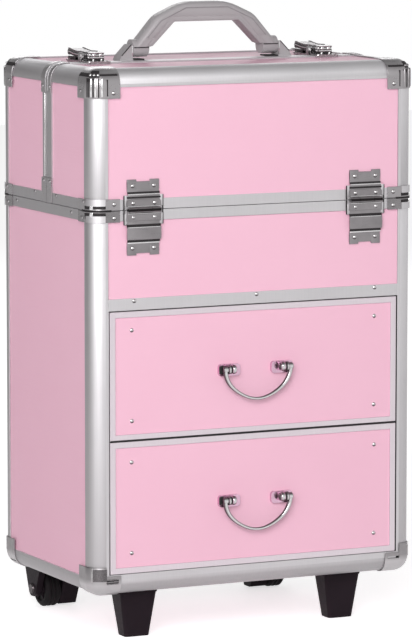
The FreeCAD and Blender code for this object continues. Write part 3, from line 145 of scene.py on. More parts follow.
sky = bpy.data.worlds.new("studio_sky")
bpy.context.scene.world = sky
sky.use_nodes = True
room = sky.node_tree
sky_background = room.nodes["Background"]
sky_background.inputs["Color"].default_value = (1, 1, 1, 1)
sky_ray = room.nodes.new("ShaderNodeLightPath")
sky_direction = room.nodes.new("ShaderNodeTexCoord").outputs["Generated"]
sky_height = room.nodes.new("ShaderNodeSeparateXYZ")
room.links.new(sky_direction, sky_height.inputs[0])
towards_wall = room.nodes.new("ShaderNodeVectorMath")
towards_wall.operation = "DOT_PRODUCT"
towards_wall.inputs[1].default_value = TOWARDS_BRIGHT_WALL
room.links.new(sky_direction, towards_wall.inputs[0])
overhead = ramped(room, sky_height.outputs["Z"], *CEILING_EDGE, 1.0, SKY_OVERHEAD, "SMOOTHSTEP")
around_wall = ramped(
    room, towards_wall.outputs["Value"], *WALL_EDGE, SKY_BEHIND_LEFT, 1.0, "SMOOTHSTEP",
)
mirrored = reckoned(
    room, "MAXIMUM", sky_ray.outputs["Is Glossy Ray"], sky_ray.outputs["Is Transmission Ray"],
)
lighting = reckoned(
    room, "MULTIPLY", reckoned(room, "MULTIPLY", overhead, around_wall),
    ramped(room, mirrored, 0.0, 1.0, SKY_LIGHT, 1.0, "SMOOTHSTEP"),
)
room.links.new(
    reckoned(room, "MAXIMUM", sky_ray.outputs["Is Camera Ray"], lighting),
    sky_background.inputs["Strength"],
)

floor_mesh = bmesh.new()
bmesh.ops.create_grid(floor_mesh, x_segments=1, y_segments=1, size=FLOOR_HALF)
floor_data = bpy.data.meshes.new("floor")
floor_mesh.to_mesh(floor_data)
floor = bpy.data.objects.new("floor", floor_data)
bpy.context.scene.collection.objects.link(floor)
floor_paint = bpy.data.materials.new("floor_paint")
floor_paint.use_nodes = True
paint = floor_paint.node_tree
floor_shader = paint.nodes["Principled BSDF"]
floor_shader.inputs["Base Color"].default_value = FLOOR_COLOUR
floor_shader.inputs["Roughness"].default_value = FLOOR_ROUGHNESS
floor_glow = paint.nodes.new("ShaderNodeEmission")
floor_ray = paint.nodes.new("ShaderNodeLightPath")
glow_strength = 0.0
for ray, glow in (
    ("Is Camera Ray", FLOOR_SEEN_GLOW), ("Is Glossy Ray", FLOOR_MIRRORED_GLOW),
    ("Is Transmission Ray", FLOOR_MIRRORED_GLOW),
):
    glow_strength = reckoned(paint, "MULTIPLY_ADD", floor_ray.outputs[ray], glow, glow_strength)
paint.links.new(glow_strength, floor_glow.inputs["Strength"])
floor_both = paint.nodes.new("ShaderNodeAddShader")
paint.links.new(floor_shader.outputs[0], floor_both.inputs[0])
paint.links.new(floor_glow.outputs[0], floor_both.inputs[1])
paint.links.new(floor_both.outputs[0], paint.nodes["Material Output"].inputs["Surface"])
floor_data.materials.append(floor_paint)


# The boards: thin plywood faced with an embossed pink laminate, whose fine lines run level round
# the whole case. They are slid into the grooves of the frame. Lids, walls and drawer fronts alike.

PINK = (0.925, 0.555, 0.684)
PINK_DEEP = (0.895, 0.520, 0.652)
LEVEL_LINES = (18, 18, 420)


class Finish:
    """A material being made: its shader, and the nodes that vary it from place to place."""

    def __init__(self, name, colour, roughness, metallic=0.0, gloss=0.5):
        self.material = bpy.data.materials.new(name)
        self.material.use_nodes = True
        self.tree = self.material.node_tree
        self.shader = self.tree.nodes["Principled BSDF"]
        for socket, value in (
            ("Base Color", (*colour, 1)), ("Roughness", roughness), ("Metallic", metallic),
            ("Specular IOR Level", gloss),
        ):
            self.shader.inputs[socket].default_value = value
        self.space = self.tree.nodes.new("ShaderNodeTexCoord")
        self.normal = None

    def noise(self, scale, detail=3.0, roughness=0.5, stretch=None):
        """Cloudy noise, with each axis stretched by its own factor if stretch is given."""
        place = self.space.outputs["Object"]
        if stretch:
            mapping = self.tree.nodes.new("ShaderNodeMapping")
            mapping.inputs["Scale"].default_value = stretch
            self.tree.links.new(place, mapping.inputs["Vector"])
            place = mapping.outputs["Vector"]
        texture = self.tree.nodes.new("ShaderNodeTexNoise")
        texture.inputs["Scale"].default_value = scale
        texture.inputs["Detail"].default_value = detail
        texture.inputs["Roughness"].default_value = roughness
        self.tree.links.new(place, texture.inputs["Vector"])
        return texture.outputs["Fac"]

    def along(self, which, axis):
        """One axis of the Object place, in metres, or of the Normal, from -1 to 1."""
        split = self.tree.nodes.new("ShaderNodeSeparateXYZ")
        self.tree.links.new(self.space.outputs[which], split.inputs[0])
        return split.outputs[axis]

    def reckoned(self, operation, *values):
        return reckoned(self.tree, operation, *values)

    def between(self, value, low, high, start=0.3, end=0.7):
        return ramped(self.tree, value, start, end, low, high)

    def tint(self, value, dark, light):
        """Colours the piece from dark to light as value goes from 0 to 1."""
        mix = self.tree.nodes.new("ShaderNodeMix")
        mix.data_type = "RGBA"
        mix.inputs["A"].default_value = (*dark, 1)
        mix.inputs["B"].default_value = (*light, 1)
        self.tree.links.new(value, mix.inputs["Factor"])
        self.tree.links.new(mix.outputs["Result"], self.shader.inputs["Base Color"])

    def mottled(self, dark, light, scale, detail=2):
        """Clouds the colour between dark and light."""
        self.tint(self.noise(scale, detail), dark, light)

    def rough(self, value):
        self.tree.links.new(value, self.shader.inputs["Roughness"])

    def hazed(self, low, high, scale=300, detail=2):
        """Clouds the polish between two roughnesses."""
        self.rough(self.between(self.noise(scale, detail), low, high))

    def raised(self, height, distance, strength=1.0):
        """Raises the surface by height times distance, on top of what is raised already."""
        bump = self.tree.nodes.new("ShaderNodeBump")
        bump.inputs["Distance"].default_value = distance
        bump.inputs["Strength"].default_value = strength
        self.tree.links.new(height, bump.inputs["Height"])
        if self.normal:
            self.tree.links.new(self.normal, bump.inputs["Normal"])
        self.normal = bump.outputs["Normal"]
        self.tree.links.new(self.normal, self.shader.inputs["Normal"])


def coat(names, finish, edge=0.0004):
    """Gives CAD nodes their finish, and rounds their sharp edges where edge isn't 0."""
    for name in names:
        node = nodes[name]
        node.data.materials.clear()
        node.data.materials.append(finish.material)
        if edge:
            weld = node.modifiers.new("joined", "WELD")
            weld.merge_threshold = 0.00001
            rounding = node.modifiers.new("eased_edges", "BEVEL")
            rounding.width = edge
            rounding.segments = 2
            rounding.limit_method = "ANGLE"
            rounding.angle_limit = math.radians(35)
            rounding.harden_normals = False


pink_laminate = Finish("pink_laminate", PINK, 0.42, gloss=0.12)
pink_laminate.mottled(PINK_DEEP, PINK, 9, 4)
embossed_lines = pink_laminate.noise(1, 3, 0.6, LEVEL_LINES)
pink_laminate.raised(embossed_lines, 0.00016, 0.6)
pink_laminate.rough(pink_laminate.between(embossed_lines, 0.36, 0.5))
coat([
    "case_side_panels", "case_back_panel", "case_bottom_panel", "case_front_panel",
    "front_lid_panels", "rear_lid_panels", "upper_drawer_panel", "lower_drawer_panel",
], pink_laminate)


# The frame: aluminium extrusions with a groove for the boards, anodised to a satin grey. The
# corner posts and the rails round the bottom, the lid line and the top of the case.

SATIN = (0.578, 0.563, 0.577)
SATIN_SHADED = (0.405, 0.390, 0.400)
SATIN_TOP_LIT = (0.720, 0.704, 0.722)
UPRIGHT_LINES = (900, 900, 12)

satin_aluminium = Finish("satin_aluminium", SATIN, 0.5, 1.0)
# Painted light: faces that look sideways are painted darker, as shade, and faces that look up are painted
# lighter, as light from above. A faint cloudy noise on top of that is the metal's own tone.
sideways = satin_aluminium.reckoned("ABSOLUTE", satin_aluminium.along("Normal", "X"))
side_shade_and_clouds = satin_aluminium.reckoned(
    "SUBTRACT", satin_aluminium.between(sideways, 1, 0, 0.70, 0.98),
    satin_aluminium.between(satin_aluminium.noise(14, 3), 0, 0.16),
)
painted_top_light = satin_aluminium.between(satin_aluminium.along("Normal", "Z"), 0.1, 1.0, -0.3, 0.3)
satin_aluminium.tint(satin_aluminium.reckoned("MULTIPLY", side_shade_and_clouds, painted_top_light), SATIN_SHADED, SATIN_TOP_LIT)
drawn_lines = satin_aluminium.noise(1, 3, 0.6, UPRIGHT_LINES)
satin_aluminium.rough(satin_aluminium.between(drawn_lines, 0.50, 0.60))
satin_aluminium.raised(satin_aluminium.noise(260, 3), 0.00002, 0.5)
coat([
    "case_corner_posts", "case_bottom_rails", "case_rim_rails", "drawer_header_rail",
    "front_lid_rails", "rear_lid_rails",
], satin_aluminium, 0.0003)


# The drawers' edging: a thin aluminium angle pressed round each drawer's front board. Its colour
# is paler and pinker than the frame's: a painted reflection of the pink laminate beside it.

FRAME_PALE = (0.690, 0.625, 0.665)
FRAME_DULL = (0.640, 0.580, 0.618)

pale_aluminium = Finish("pale_aluminium", FRAME_PALE, 0.55, 1.0)
pale_aluminium.mottled(FRAME_DULL, FRAME_PALE, 14, 3)
edging_lines = pale_aluminium.noise(1, 3, 0.6, UPRIGHT_LINES)
pale_aluminium.rough(pale_aluminium.between(edging_lines, 0.50, 0.62))
coat(["upper_drawer_frame", "lower_drawer_frame"], pale_aluminium, 0.0003)


# The inside: a black woven lining glued to the walls and lids, black fibreboard for the drawers'
# boxes and the compartment's floor, and two trays vacuum-formed from thin black plastic.

LINING = (0.020, 0.019, 0.021)
LINING_PILE = (0.045, 0.043, 0.047)
FIBREBOARD = (0.030, 0.028, 0.029)
FIBREBOARD_PALE = (0.060, 0.056, 0.056)
TRAY = (0.028, 0.027, 0.029)
TRAY_SCUFFED = (0.050, 0.048, 0.052)

black_lining = Finish("black_lining", LINING, 0.9)
black_lining.mottled(LINING, LINING_PILE, 700, 3)
black_lining.raised(black_lining.noise(1500, 2), 0.00012, 0.8)
coat(["case_lining", "front_lid_lining", "rear_lid_lining"], black_lining, 0)

black_fibreboard = Finish("black_fibreboard", FIBREBOARD, 0.7)
black_fibreboard.mottled(FIBREBOARD, FIBREBOARD_PALE, 260, 4)
black_fibreboard.raised(black_fibreboard.noise(600, 3), 0.00006, 0.6)
coat(["upper_drawer_box", "lower_drawer_box", "compartment_floor"], black_fibreboard, 0.0005)

tray_plastic = Finish("tray_plastic", TRAY, 0.36)
tray_plastic.mottled(TRAY, TRAY_SCUFFED, 50, 4)
tray_plastic.raised(tray_plastic.noise(500, 2), 0.00005, 0.6)
coat(["front_tray", "rear_tray"], tray_plastic, 0.0006)


# The moving steel inside: the drawers' runner channels, screwed to the walls, and the flat arms
# that hold the trays level, riveted to pivots on the case and the lids. All of it zinc plated.

ZINC = (0.60, 0.61, 0.63)
ZINC_DARK = (0.50, 0.51, 0.53)

zinc_plate = Finish("zinc_plate", ZINC, 0.4, 1.0)
zinc_plate.mottled(ZINC_DARK, ZINC, 120)
zinc_plate.hazed(0.28, 0.5, 150, 3)
coat([
    "drawer_runner_channels", "front_tray_arms", "rear_tray_arms", "case_tray_pivots",
    "front_tray_lid_pivots", "rear_tray_lid_pivots",
], zinc_plate, 0.0003)


# The corner caps of the lids: shells drawn from thin steel, nickel plated and riveted over the
# frame's corners. Each has ribs and grooves round the corner, a slot above them and a hollow top.

NICKEL = (0.31, 0.295, 0.302)
NICKEL_DARK = (0.21, 0.199, 0.205)
CAP_CROWN = (0.50, 0.485, 0.495)
CAP_LEAF = (0.36, 0.343, 0.352)
CROWN_EDGE = (0.5712, 0.5728)
POLISHED = (0.80, 0.79, 0.795)
POLISHED_DULL = (0.62, 0.61, 0.615)
SHADOW = (0.020, 0.017, 0.018)
SHADOW_WORN = (0.034, 0.030, 0.032)
ROLLED_LINES = (60, 60, 900)

# Paler on the crown above the slot than on the leaves below it.
crown_pale_cap = Finish("crown_pale_cap", NICKEL, 0.28, 1.0)
crown_pale_cap.tint(crown_pale_cap.between(crown_pale_cap.along("Object", "Z"), 0, 1, *CROWN_EDGE), CAP_LEAF, CAP_CROWN)
crown_pale_cap.hazed(0.24, 0.42, 180, 3)
crown_pale_cap.raised(crown_pale_cap.noise(1, 2, 0.5, ROLLED_LINES), 0.00005, 0.35)
coat(["front_lid_corner_caps", "rear_lid_corner_caps"], crown_pale_cap, 0.00035)

polished_nickel = Finish("polished_nickel", POLISHED, 0.14, 1.0)
polished_nickel.mottled(POLISHED_DULL, POLISHED, 90)
polished_nickel.hazed(0.1, 0.22)

# A duller, darker nickel. On the right caps' ribs and on the rivets on the sides, its darkness is painted
# shade.
hazy_shaded_nickel = Finish("hazy_shaded_nickel", NICKEL_DARK, 0.34, 1.0)
hazy_shaded_nickel.mottled(NICKEL_DARK, CAP_LEAF, 150)
hazy_shaded_nickel.hazed(0.28, 0.45)

# Dark sheets that paint shade: laid in slots, seams, gaps, joints and recesses where shade falls.
painted_shade = Finish("painted_shade", SHADOW, 0.6, gloss=0.2)
painted_shade.mottled(SHADOW, SHADOW_WORN, 200, 3)
painted_shade.raised(painted_shade.noise(600, 2), 0.00003, 0.5)

MM = 0.001
MIDDLE_Y = -3.9
SHARP_ANGLE = math.radians(35)
TO_LEFT = Matrix.Scale(-1, 4, (1, 0, 0))
TO_REAR = Matrix.Translation((0, 2 * MIDDLE_Y, 0)) @ Matrix.Scale(-1, 4, (0, 1, 0))
AS_IS = Matrix.Identity(4)
BOTH_SIDES = (AS_IS, TO_LEFT)


def ease(shape, width):
    """Rounds every edge of a shape a little."""
    if width:
        bmesh.ops.bevel(
            shape, geom=shape.edges[:], offset=width, offset_type="OFFSET", segments=2,
            profile=0.5, affect="EDGES", material=-1, clamp_overlap=True,
        )
    return shape


def block(low, high, edge=0.0):
    """A block between two corners."""
    shape = bmesh.new()
    bmesh.ops.create_cube(shape, size=1)
    low, high = Vector(low), Vector(high)
    bmesh.ops.scale(shape, vec=high - low, verts=shape.verts)
    bmesh.ops.translate(shape, vec=(low + high) / 2, verts=shape.verts)
    return ease(shape, edge)


def turned(profile, steps=24):
    """A profile of (radius, height) turned about the upright axis."""
    shape = bmesh.new()
    points = [shape.verts.new((radius, 0, height)) for radius, height in profile]
    edges = [shape.edges.new(pair) for pair in zip(points, points[1:])]
    bmesh.ops.spin(
        shape, geom=points + edges, cent=(0, 0, 0), axis=(0, 0, 1), dvec=(0, 0, 0),
        angle=math.tau, steps=steps, use_merge=True,
    )
    bmesh.ops.remove_doubles(shape, verts=shape.verts, dist=0.0005)
    return shape


def of_kind(items, kind):
    return [item for item in items if isinstance(item, kind)]


def wrapped(section, ahead, along, centre, angle=math.pi / 2, steps=10):
    """A strip of a closed (reach, height) section that runs round an upright rounded corner.

    It runs ahead of the corner along X and along beside it in Y, about centre.
    """
    shape = bmesh.new()
    end = [shape.faces.new([
        shape.verts.new((centre[0] - ahead, centre[1] - reach, height)) for reach, height in section
    ])]

    def drawn_out(end, way):
        grown = bmesh.ops.extrude_face_region(shape, geom=end)["geom"]
        bmesh.ops.translate(shape, vec=way, verts=of_kind(grown, bmesh.types.BMVert))
        return of_kind(grown, bmesh.types.BMFace)

    if ahead:
        end = drawn_out(end, (ahead, 0, 0))
    swept = bmesh.ops.spin(
        shape, geom=end, cent=(*centre, 0), axis=(0, 0, 1), dvec=(0, 0, 0), angle=angle, steps=steps,
    )
    if along:
        drawn_out(of_kind(swept["geom_last"], bmesh.types.BMFace), (0, along, 0))
    return shape


def band(outer, inner, low, high):
    """A four-sided (reach, height) section."""
    return [(outer, low), (outer, high), (inner, high), (inner, low)]


def facing(place, outward):
    """Puts a shape at a place, with its upright axis pointing outward from the case."""
    aim = Vector(outward).to_track_quat("Z", "Y").to_matrix().to_4x4()
    return Matrix.Translation(place) @ aim


def assembled(name, parts, body, finish, stands_for=()):
    """Makes one piece out of (shape, places) parts, given in millimetres."""
    whole = bmesh.new()
    for shape, places in parts:
        for place in places:
            copy = shape.copy()
            bmesh.ops.transform(copy, matrix=place, verts=copy.verts)
            bmesh.ops.recalc_face_normals(copy, faces=copy.faces)
            spare = bpy.data.meshes.new("spare")
            copy.to_mesh(spare)
            copy.free()
            whole.from_mesh(spare)
            bpy.data.meshes.remove(spare)
        shape.free()
    data = bpy.data.meshes.new(name)
    whole.to_mesh(data)
    whole.free()
    data.transform(Matrix.Scale(MM, 4))
    data.shade_smooth()
    data.set_sharp_from_angle(angle=SHARP_ANGLE)
    data.materials.append(finish.material)
    thing = bpy.data.objects.new(name, data)
    bpy.context.scene.collection.objects.link(thing)
    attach(thing, body)
    if stands_for:
        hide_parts(*stands_for)


CAP_CENTRE = (165.0, -101.9)
CAP_RADIUS = 16.2
CAP_TOP_CENTRE_Z = 561.0
CAP_RIB_LOW = 548.2
CAP_RIB_HIGH = 567.5
CAP_RIB_ANGLES = (37, 53, 77)
CAP_GROOVE_ANGLES = (20, 28, 45, 65)
CAP_BUMP_Z = 570.2
CAP_BUMP_ANGLES = (28, 45, 62)
CAP_BUMP = [(0, 1.5), (0.8, 1.3), (1.35, 0.7), (1.5, 0), (1.5, -0.8)]
CAP_GROOVE = ((-0.75, -9.6, -0.4), (0.75, 9.6, 0.12))
LEAF_EDGE_SHADE = ((162.4, -118.3, 549.5), (163.5, -117.2, 566.0))
FRONT_SLOT_LENGTHS = (14.0, 14.5)
SIDE_SLOT_LENGTH = 16.0
SIDE_SLOT_TURN = math.radians(22)
HOLLOW_START = 22
HOLLOW_TURN = math.radians(44)
ROUND_TO_SIDE = Matrix(((0, -1, 0), (-1, 0, 0), (0, 0, 1))).to_4x4()
CAP_CORNER = Matrix.Translation((*CAP_CENTRE, 0))


def reach_at(height):
    """How far the cap's rounded top stands out from the corner's axis at a height."""
    return math.sqrt(CAP_RADIUS ** 2 - max(height - CAP_TOP_CENTRE_Z, 0) ** 2)


def round_corner(angle, height, radius=CAP_RADIUS):
    """A place on the rounded corner, turned so that a shape's face looks outward."""
    turn = math.radians(angle)
    outward = Vector((math.cos(turn), -math.sin(turn), 0))
    return facing(Vector((*CAP_CENTRE, height)) + outward * radius, outward)


def over_the_top(line):
    """A closed section that follows the cap's rounded top, from (height, proud) points."""
    inside = [(reach_at(height) - 1, height) for height in (line[-1][0], line[0][0])]
    return [(reach_at(height) + proud, height) for height, proud in line] + inside


# Dark sheets laid on the caps paint the shade in the slots, the hollow tops and the grooves, and along an
# edge of each front leaf.
front_slot_shade = over_the_top([(569.4, 0.12), (571.2, 0.12)])
side_slot_shade = over_the_top([(568.5, 0.15), (570.3, 0.15), (571.9, 0.15)])
hollow_shade = over_the_top([(567.8, 0.1), (569.8, 0.3), (571.6, 0.6), (573.2, 0.9), (574.4, 1.1)])
rib_half = (CAP_RIB_HIGH - CAP_RIB_LOW) / 2
rib_middle = (CAP_RIB_HIGH + CAP_RIB_LOW) / 2
rib_end = [(1.1, rib_half - 1.5), (0.8, rib_half - 0.5), (0, rib_half)]

for body, end in (("front_lid", AS_IS), ("rear_lid", TO_REAR)):
    # The ribs are alike on every cap: the left caps' ribs are given the polished nickel as painted
    # highlight, and the right caps' ribs the darker nickel as painted shade.
    for side_name, side, plating in (("left", TO_LEFT, polished_nickel), ("right", AS_IS, hazy_shaded_nickel)):
        rib = turned([(radius, -height) for radius, height in reversed(rib_end)] + rib_end, 12)
        bmesh.ops.rotate(rib, matrix=Matrix.Rotation(math.radians(-90), 3, "X"), verts=rib.verts)
        assembled(f"{body}_{side_name}_cap_ribs", [
            (rib, [
                side @ end @ round_corner(angle, rib_middle, CAP_RADIUS - 0.25)
                for angle in CAP_RIB_ANGLES
            ]),
            (turned(CAP_BUMP, 14), [
                side @ end @ round_corner(angle, CAP_BUMP_Z, reach_at(CAP_BUMP_Z) - 0.1)
                for angle in CAP_BUMP_ANGLES
            ]),
        ], body, plating)
    corners = [side @ end for side in BOTH_SIDES]
    assembled(f"{body}_cap_slot_shades", [
        (wrapped(front_slot_shade, *FRONT_SLOT_LENGTHS, CAP_CENTRE), corners),
        (wrapped(side_slot_shade, SIDE_SLOT_LENGTH, 0, (0, 0), SIDE_SLOT_TURN, 4), [
            corner @ CAP_CORNER @ ROUND_TO_SIDE for corner in corners
        ]),
        (wrapped(hollow_shade, 0, 0, (0, 0), HOLLOW_TURN, 8), [
            corner @ CAP_CORNER @ Matrix.Rotation(math.radians(HOLLOW_START), 4, "Z")
            for corner in corners
        ]),
        (block(*CAP_GROOVE), [
            corner @ round_corner(angle, rib_middle)
            for corner in corners for angle in CAP_GROOVE_ANGLES
        ]),
        (block(*LEAF_EDGE_SHADE), corners),
    ], body, painted_shade)


# The rim caps: a pair of low nickel stampings at each corner of the lid line, riveted on, one to
# the lid and one to the case. Each has a window over the post that is split by a bright bar.

LID_LINE = 436.0
RIM_SEAM = (0.25, 1.0)
RIM_WINDOW = (1.7, 4.9)
RIM_COLLAR = (4.9, 11.7)
RIM_BAR_ANGLES = (33, 39)
COLLAR_START = 2
COLLAR_TURN = math.radians(76)

bright_nickel = Finish("bright_nickel", NICKEL, 0.24, 1.0)
bright_nickel.mottled(NICKEL_DARK, NICKEL, 40, 3)
bright_nickel.hazed(0.2, 0.34, 220, 3)
bright_nickel.raised(bright_nickel.noise(1, 2, 0.5, ROLLED_LINES), 0.00005, 0.35)
coat(["case_rim_corner_caps"], bright_nickel, 0.00035)

for body, way, ends in (
    ("case", -1, (AS_IS, TO_REAR)), ("front_lid", 1, (AS_IS,)), ("rear_lid", 1, (TO_REAR,)),
):
    corners = [side @ end for side in BOTH_SIDES for end in ends]
    seam, window, collar = (
        sorted(LID_LINE + way * step for step in steps) for steps in (RIM_SEAM, RIM_WINDOW, RIM_COLLAR)
    )
    # The window and the lid seam beside it are dark bands that paint the shade in them.
    assembled(f"{body}_rim_window_shades", [
        (wrapped(band(15.9, 15.05, *window), 0, 0, CAP_CENTRE), corners),
        (wrapped(band(16.4, 14.8, *seam), 6, 6, CAP_CENTRE), corners),
    ], body, painted_shade)
    assembled(f"{body}_rim_collars", [
        (wrapped(band(16.45, 15.0, *collar), 0, 0, (0, 0), COLLAR_TURN, 12), [
            corner @ CAP_CORNER @ Matrix.Rotation(math.radians(COLLAR_START), 4, "Z")
            for corner in corners
        ]),
    ], body, satin_aluminium)
    bar_half = (RIM_WINDOW[1] - RIM_WINDOW[0]) / 2 + 0.4
    assembled(f"{body}_rim_bars", [
        (block((-0.9, -bar_half, -0.9), (0.9, bar_half, 0.25), 0.2), [
            corner @ round_corner(angle, sum(window) / 2)
            for corner in corners for angle in RIM_BAR_ANGLES
        ]),
    ], body, polished_nickel)


# The bottom caps: cast shells screwed round the case's lower corners, with a smooth foot. Above it
# is a coarse patch, between a bright upright rib and a small ribbed tab over the rail.

NICKEL_DARKEST = (0.050, 0.043, 0.046)
FOOT_EDGE = (0.061, 0.067)
PATCH_TURN = math.radians(50)
PATCH_HEIGHTS = (65.2, 77.6)
FOOT_RIB = ((-0.9, -7.2, -0.5), (0.9, 7.2, 0.75))
FOOT_RIB_ANGLE = 36
FOOT_RIB_Z = 71.5
TAB_BARS = (61.9, 64.1, 66.3)
TAB_SLOTS = (63.2, 65.4)

foot_cap = Finish("foot_cap", NICKEL, 0.36, 1.0)
foot_cap.tint(foot_cap.between(foot_cap.along("Object", "Z"), 0, 1, *FOOT_EDGE), CAP_CROWN, NICKEL)
foot_cap.hazed(0.34, 0.5, 160, 3)
foot_cap.raised(foot_cap.noise(120, 3), 0.00006, 0.4)
coat(["case_bottom_corner_caps"], foot_cap, 0.00035)

cast_nickel = Finish("cast_nickel", NICKEL_DARK, 0.45, 1.0)
cast_nickel.mottled(NICKEL_DARKEST, NICKEL_DARK, 800, 3)
cast_nickel.raised(cast_nickel.noise(700, 3), 0.0003, 0.9)

soft_nickel = Finish("soft_nickel", CAP_CROWN, 0.24, 1.0)
soft_nickel.mottled(NICKEL, POLISHED_DULL, 220)
soft_nickel.hazed(0.14, 0.34)

left_feet = [TO_LEFT, TO_LEFT @ TO_REAR]
right_feet = [AS_IS, TO_REAR]
for side_name, corners, casting in (("left", left_feet, cast_nickel), ("right", right_feet, foot_cap)):
    assembled(f"{side_name}_bottom_cap_patches", [
        (wrapped(band(16.42, 15.4, *PATCH_HEIGHTS), 0, 0, CAP_CENTRE, PATCH_TURN, 8), corners),
    ], "case", casting)
assembled("bottom_cap_ribs", [
    (block(*FOOT_RIB, 0.35), [
        corner @ round_corner(FOOT_RIB_ANGLE, FOOT_RIB_Z) for corner in right_feet + left_feet
    ]),
], "case", soft_nickel)
assembled("bottom_cap_tabs", [
    (block((152.2, -118.9, low), (165, -117.9, low + 1.0), 0.3), left_feet)
    for low in TAB_BARS
], "case", bright_nickel)
# Dark strips between the tab's bars paint the shade in its slots.
assembled("bottom_cap_slot_shades", [
    (block((152.0, -118.3, low), (165.5, -117.3, low + 0.6)), left_feet) for low in TAB_SLOTS
], "case", painted_shade)


# The seam straps: steel strips bent over the rims where the half-lids meet and riveted to them,
# each stiffened by a bead. Below them a bright bead runs down the seam on both sides.

STRAP_RADIUS = 16.2
STRAP_CENTRE = (165.0, 561.0)
STRAP_BEADS = {"front_lid": -13.2, "rear_lid": -7.4}
SEAM_BEAD = ((179.6, -4.6, 462), (181.0, -3.6, 547))

for body, bead in STRAP_BEADS.items():
    strip = wrapped(band(STRAP_RADIUS + 0.5, STRAP_RADIUS - 0.5, -0.5, 0.5), 3.0, 12.0, (0, 0))
    stand = Matrix.Translation((STRAP_CENTRE[0], bead, STRAP_CENTRE[1])) @ Matrix.Rotation(
        math.radians(-90), 4, "X"
    )
    assembled(f"{body}_strap_beads", [
        (ease(strip, 0.2), [side @ stand for side in BOTH_SIDES]),
    ], body, satin_aluminium)
assembled("side_seam_beads", [
    (block(*SEAM_BEAD, 0.4), BOTH_SIDES),
], "rear_lid", polished_nickel)


# The hinges: leaves stamped from nickel-plated steel, with rivets through their ends, a framed plate
# each side of the pin, and thin wings behind. The lid's leaf has the middle knuckle of the three.

HINGE_X = 124.0
BOARD_Y = -115.4
LEAF_HALF = 17.5
WING_HALF = 21.3
PLATE_HALF = 18.6
PIN_OUT = 4.5
KNUCKLE = 2.8
TONGUE_HALF = 8.0
HINGE_DARK = (0.20, 0.188, 0.194)
HINGE_PALE = (0.345, 0.327, 0.336)
PIN_SHADE = (0.0011, 0.0017)
RIVET = (0.60, 0.585, 0.59)
SHADED_NICKEL = (0.115, 0.100, 0.105)
DOME = [(0, 1.25), (0.9, 1.1), (1.65, 0.75), (2.1, 0.3), (2.25, -0.2)]
HINGE_RIVETS_UP = ((23.9, 1.75), (6.9, 3.4))
HINGE_RIVETS_DOWN = ((-38.1, 1.75), (-7.4, 3.4))
HINGE_RIVETS_ACROSS = (-11.7, 11.7)
LEAF_TAB = 10.0
LEAF_TAB_IN = 7.4
PLATE_REACH = (3.5, 11.4)
WING_MIDDLE = 19.4
WING_WIDTH_HALF = 1.9
LEAF_LINES = (40, 40, 1400)
LEAF_GRAIN = (30, 30, 1100)

coat(["hinge_pins"], bright_nickel, 0.00025)

hinge_steel = Finish("hinge_steel", NICKEL, 0.3, 1.0)
hinge_steel.mottled(HINGE_DARK, HINGE_PALE, 50, 3)
hinge_steel.rough(hinge_steel.between(hinge_steel.noise(1, 3, 0.6, LEAF_LINES), 0.26, 0.42))
hinge_steel.raised(hinge_steel.noise(1, 2, 0.5, LEAF_GRAIN), 0.00008, 0.55)

# The knuckles are painted dark in a narrow band along the pin's line, as the shade of the groove they lie
# in.
knuckle_steel = Finish("knuckle_steel", NICKEL, 0.3, 1.0)
over_pin = knuckle_steel.reckoned("SUBTRACT", knuckle_steel.along("Object", "Z"), LID_LINE * MM)
from_pin = knuckle_steel.reckoned("ABSOLUTE", over_pin)
knuckle_steel.tint(knuckle_steel.between(from_pin, 0, 1, *PIN_SHADE), SHADOW, NICKEL)
knuckle_steel.hazed(0.3, 0.5, 400)

# Each rivet head is painted darker on its lower half, as shade.
rivet_steel = Finish("rivet_steel", RIVET, 0.16, 1.0)
rivet_steel.tint(rivet_steel.between(rivet_steel.along("Normal", "Z"), 0, 1, -0.40, 0.10), SHADED_NICKEL, RIVET)
rivet_steel.hazed(0.12, 0.26, 500)


def slab(outline, low, high, edge=0.0):
    """An (X, Y) outline made solid along Z from low to high."""
    shape = bmesh.new()
    shape.faces.new([shape.verts.new((x, y, low)) for x, y in outline])
    grown = bmesh.ops.extrude_face_region(shape, geom=shape.faces[:])["geom"]
    bmesh.ops.translate(shape, vec=(0, 0, high - low), verts=of_kind(grown, bmesh.types.BMVert))
    return ease(shape, edge)


def slab_across(outline, low, high, edge=0.0):
    """A (Y, Z) outline made solid along X from low to high."""
    shape = slab(outline, low, high, edge)
    turn = Matrix(((0, 0, 1), (1, 0, 0), (0, 1, 0)))
    bmesh.ops.transform(shape, matrix=turn.to_4x4(), verts=shape.verts)
    return shape


def turned_across(profile, place, steps=20):
    """A profile of (radius, distance) turned about a line along X through a place."""
    shape = turned(profile, steps)
    bmesh.ops.rotate(shape, matrix=Matrix.Rotation(math.radians(90), 3, "Y"), verts=shape.verts)
    bmesh.ops.translate(shape, vec=place, verts=shape.verts)
    return shape


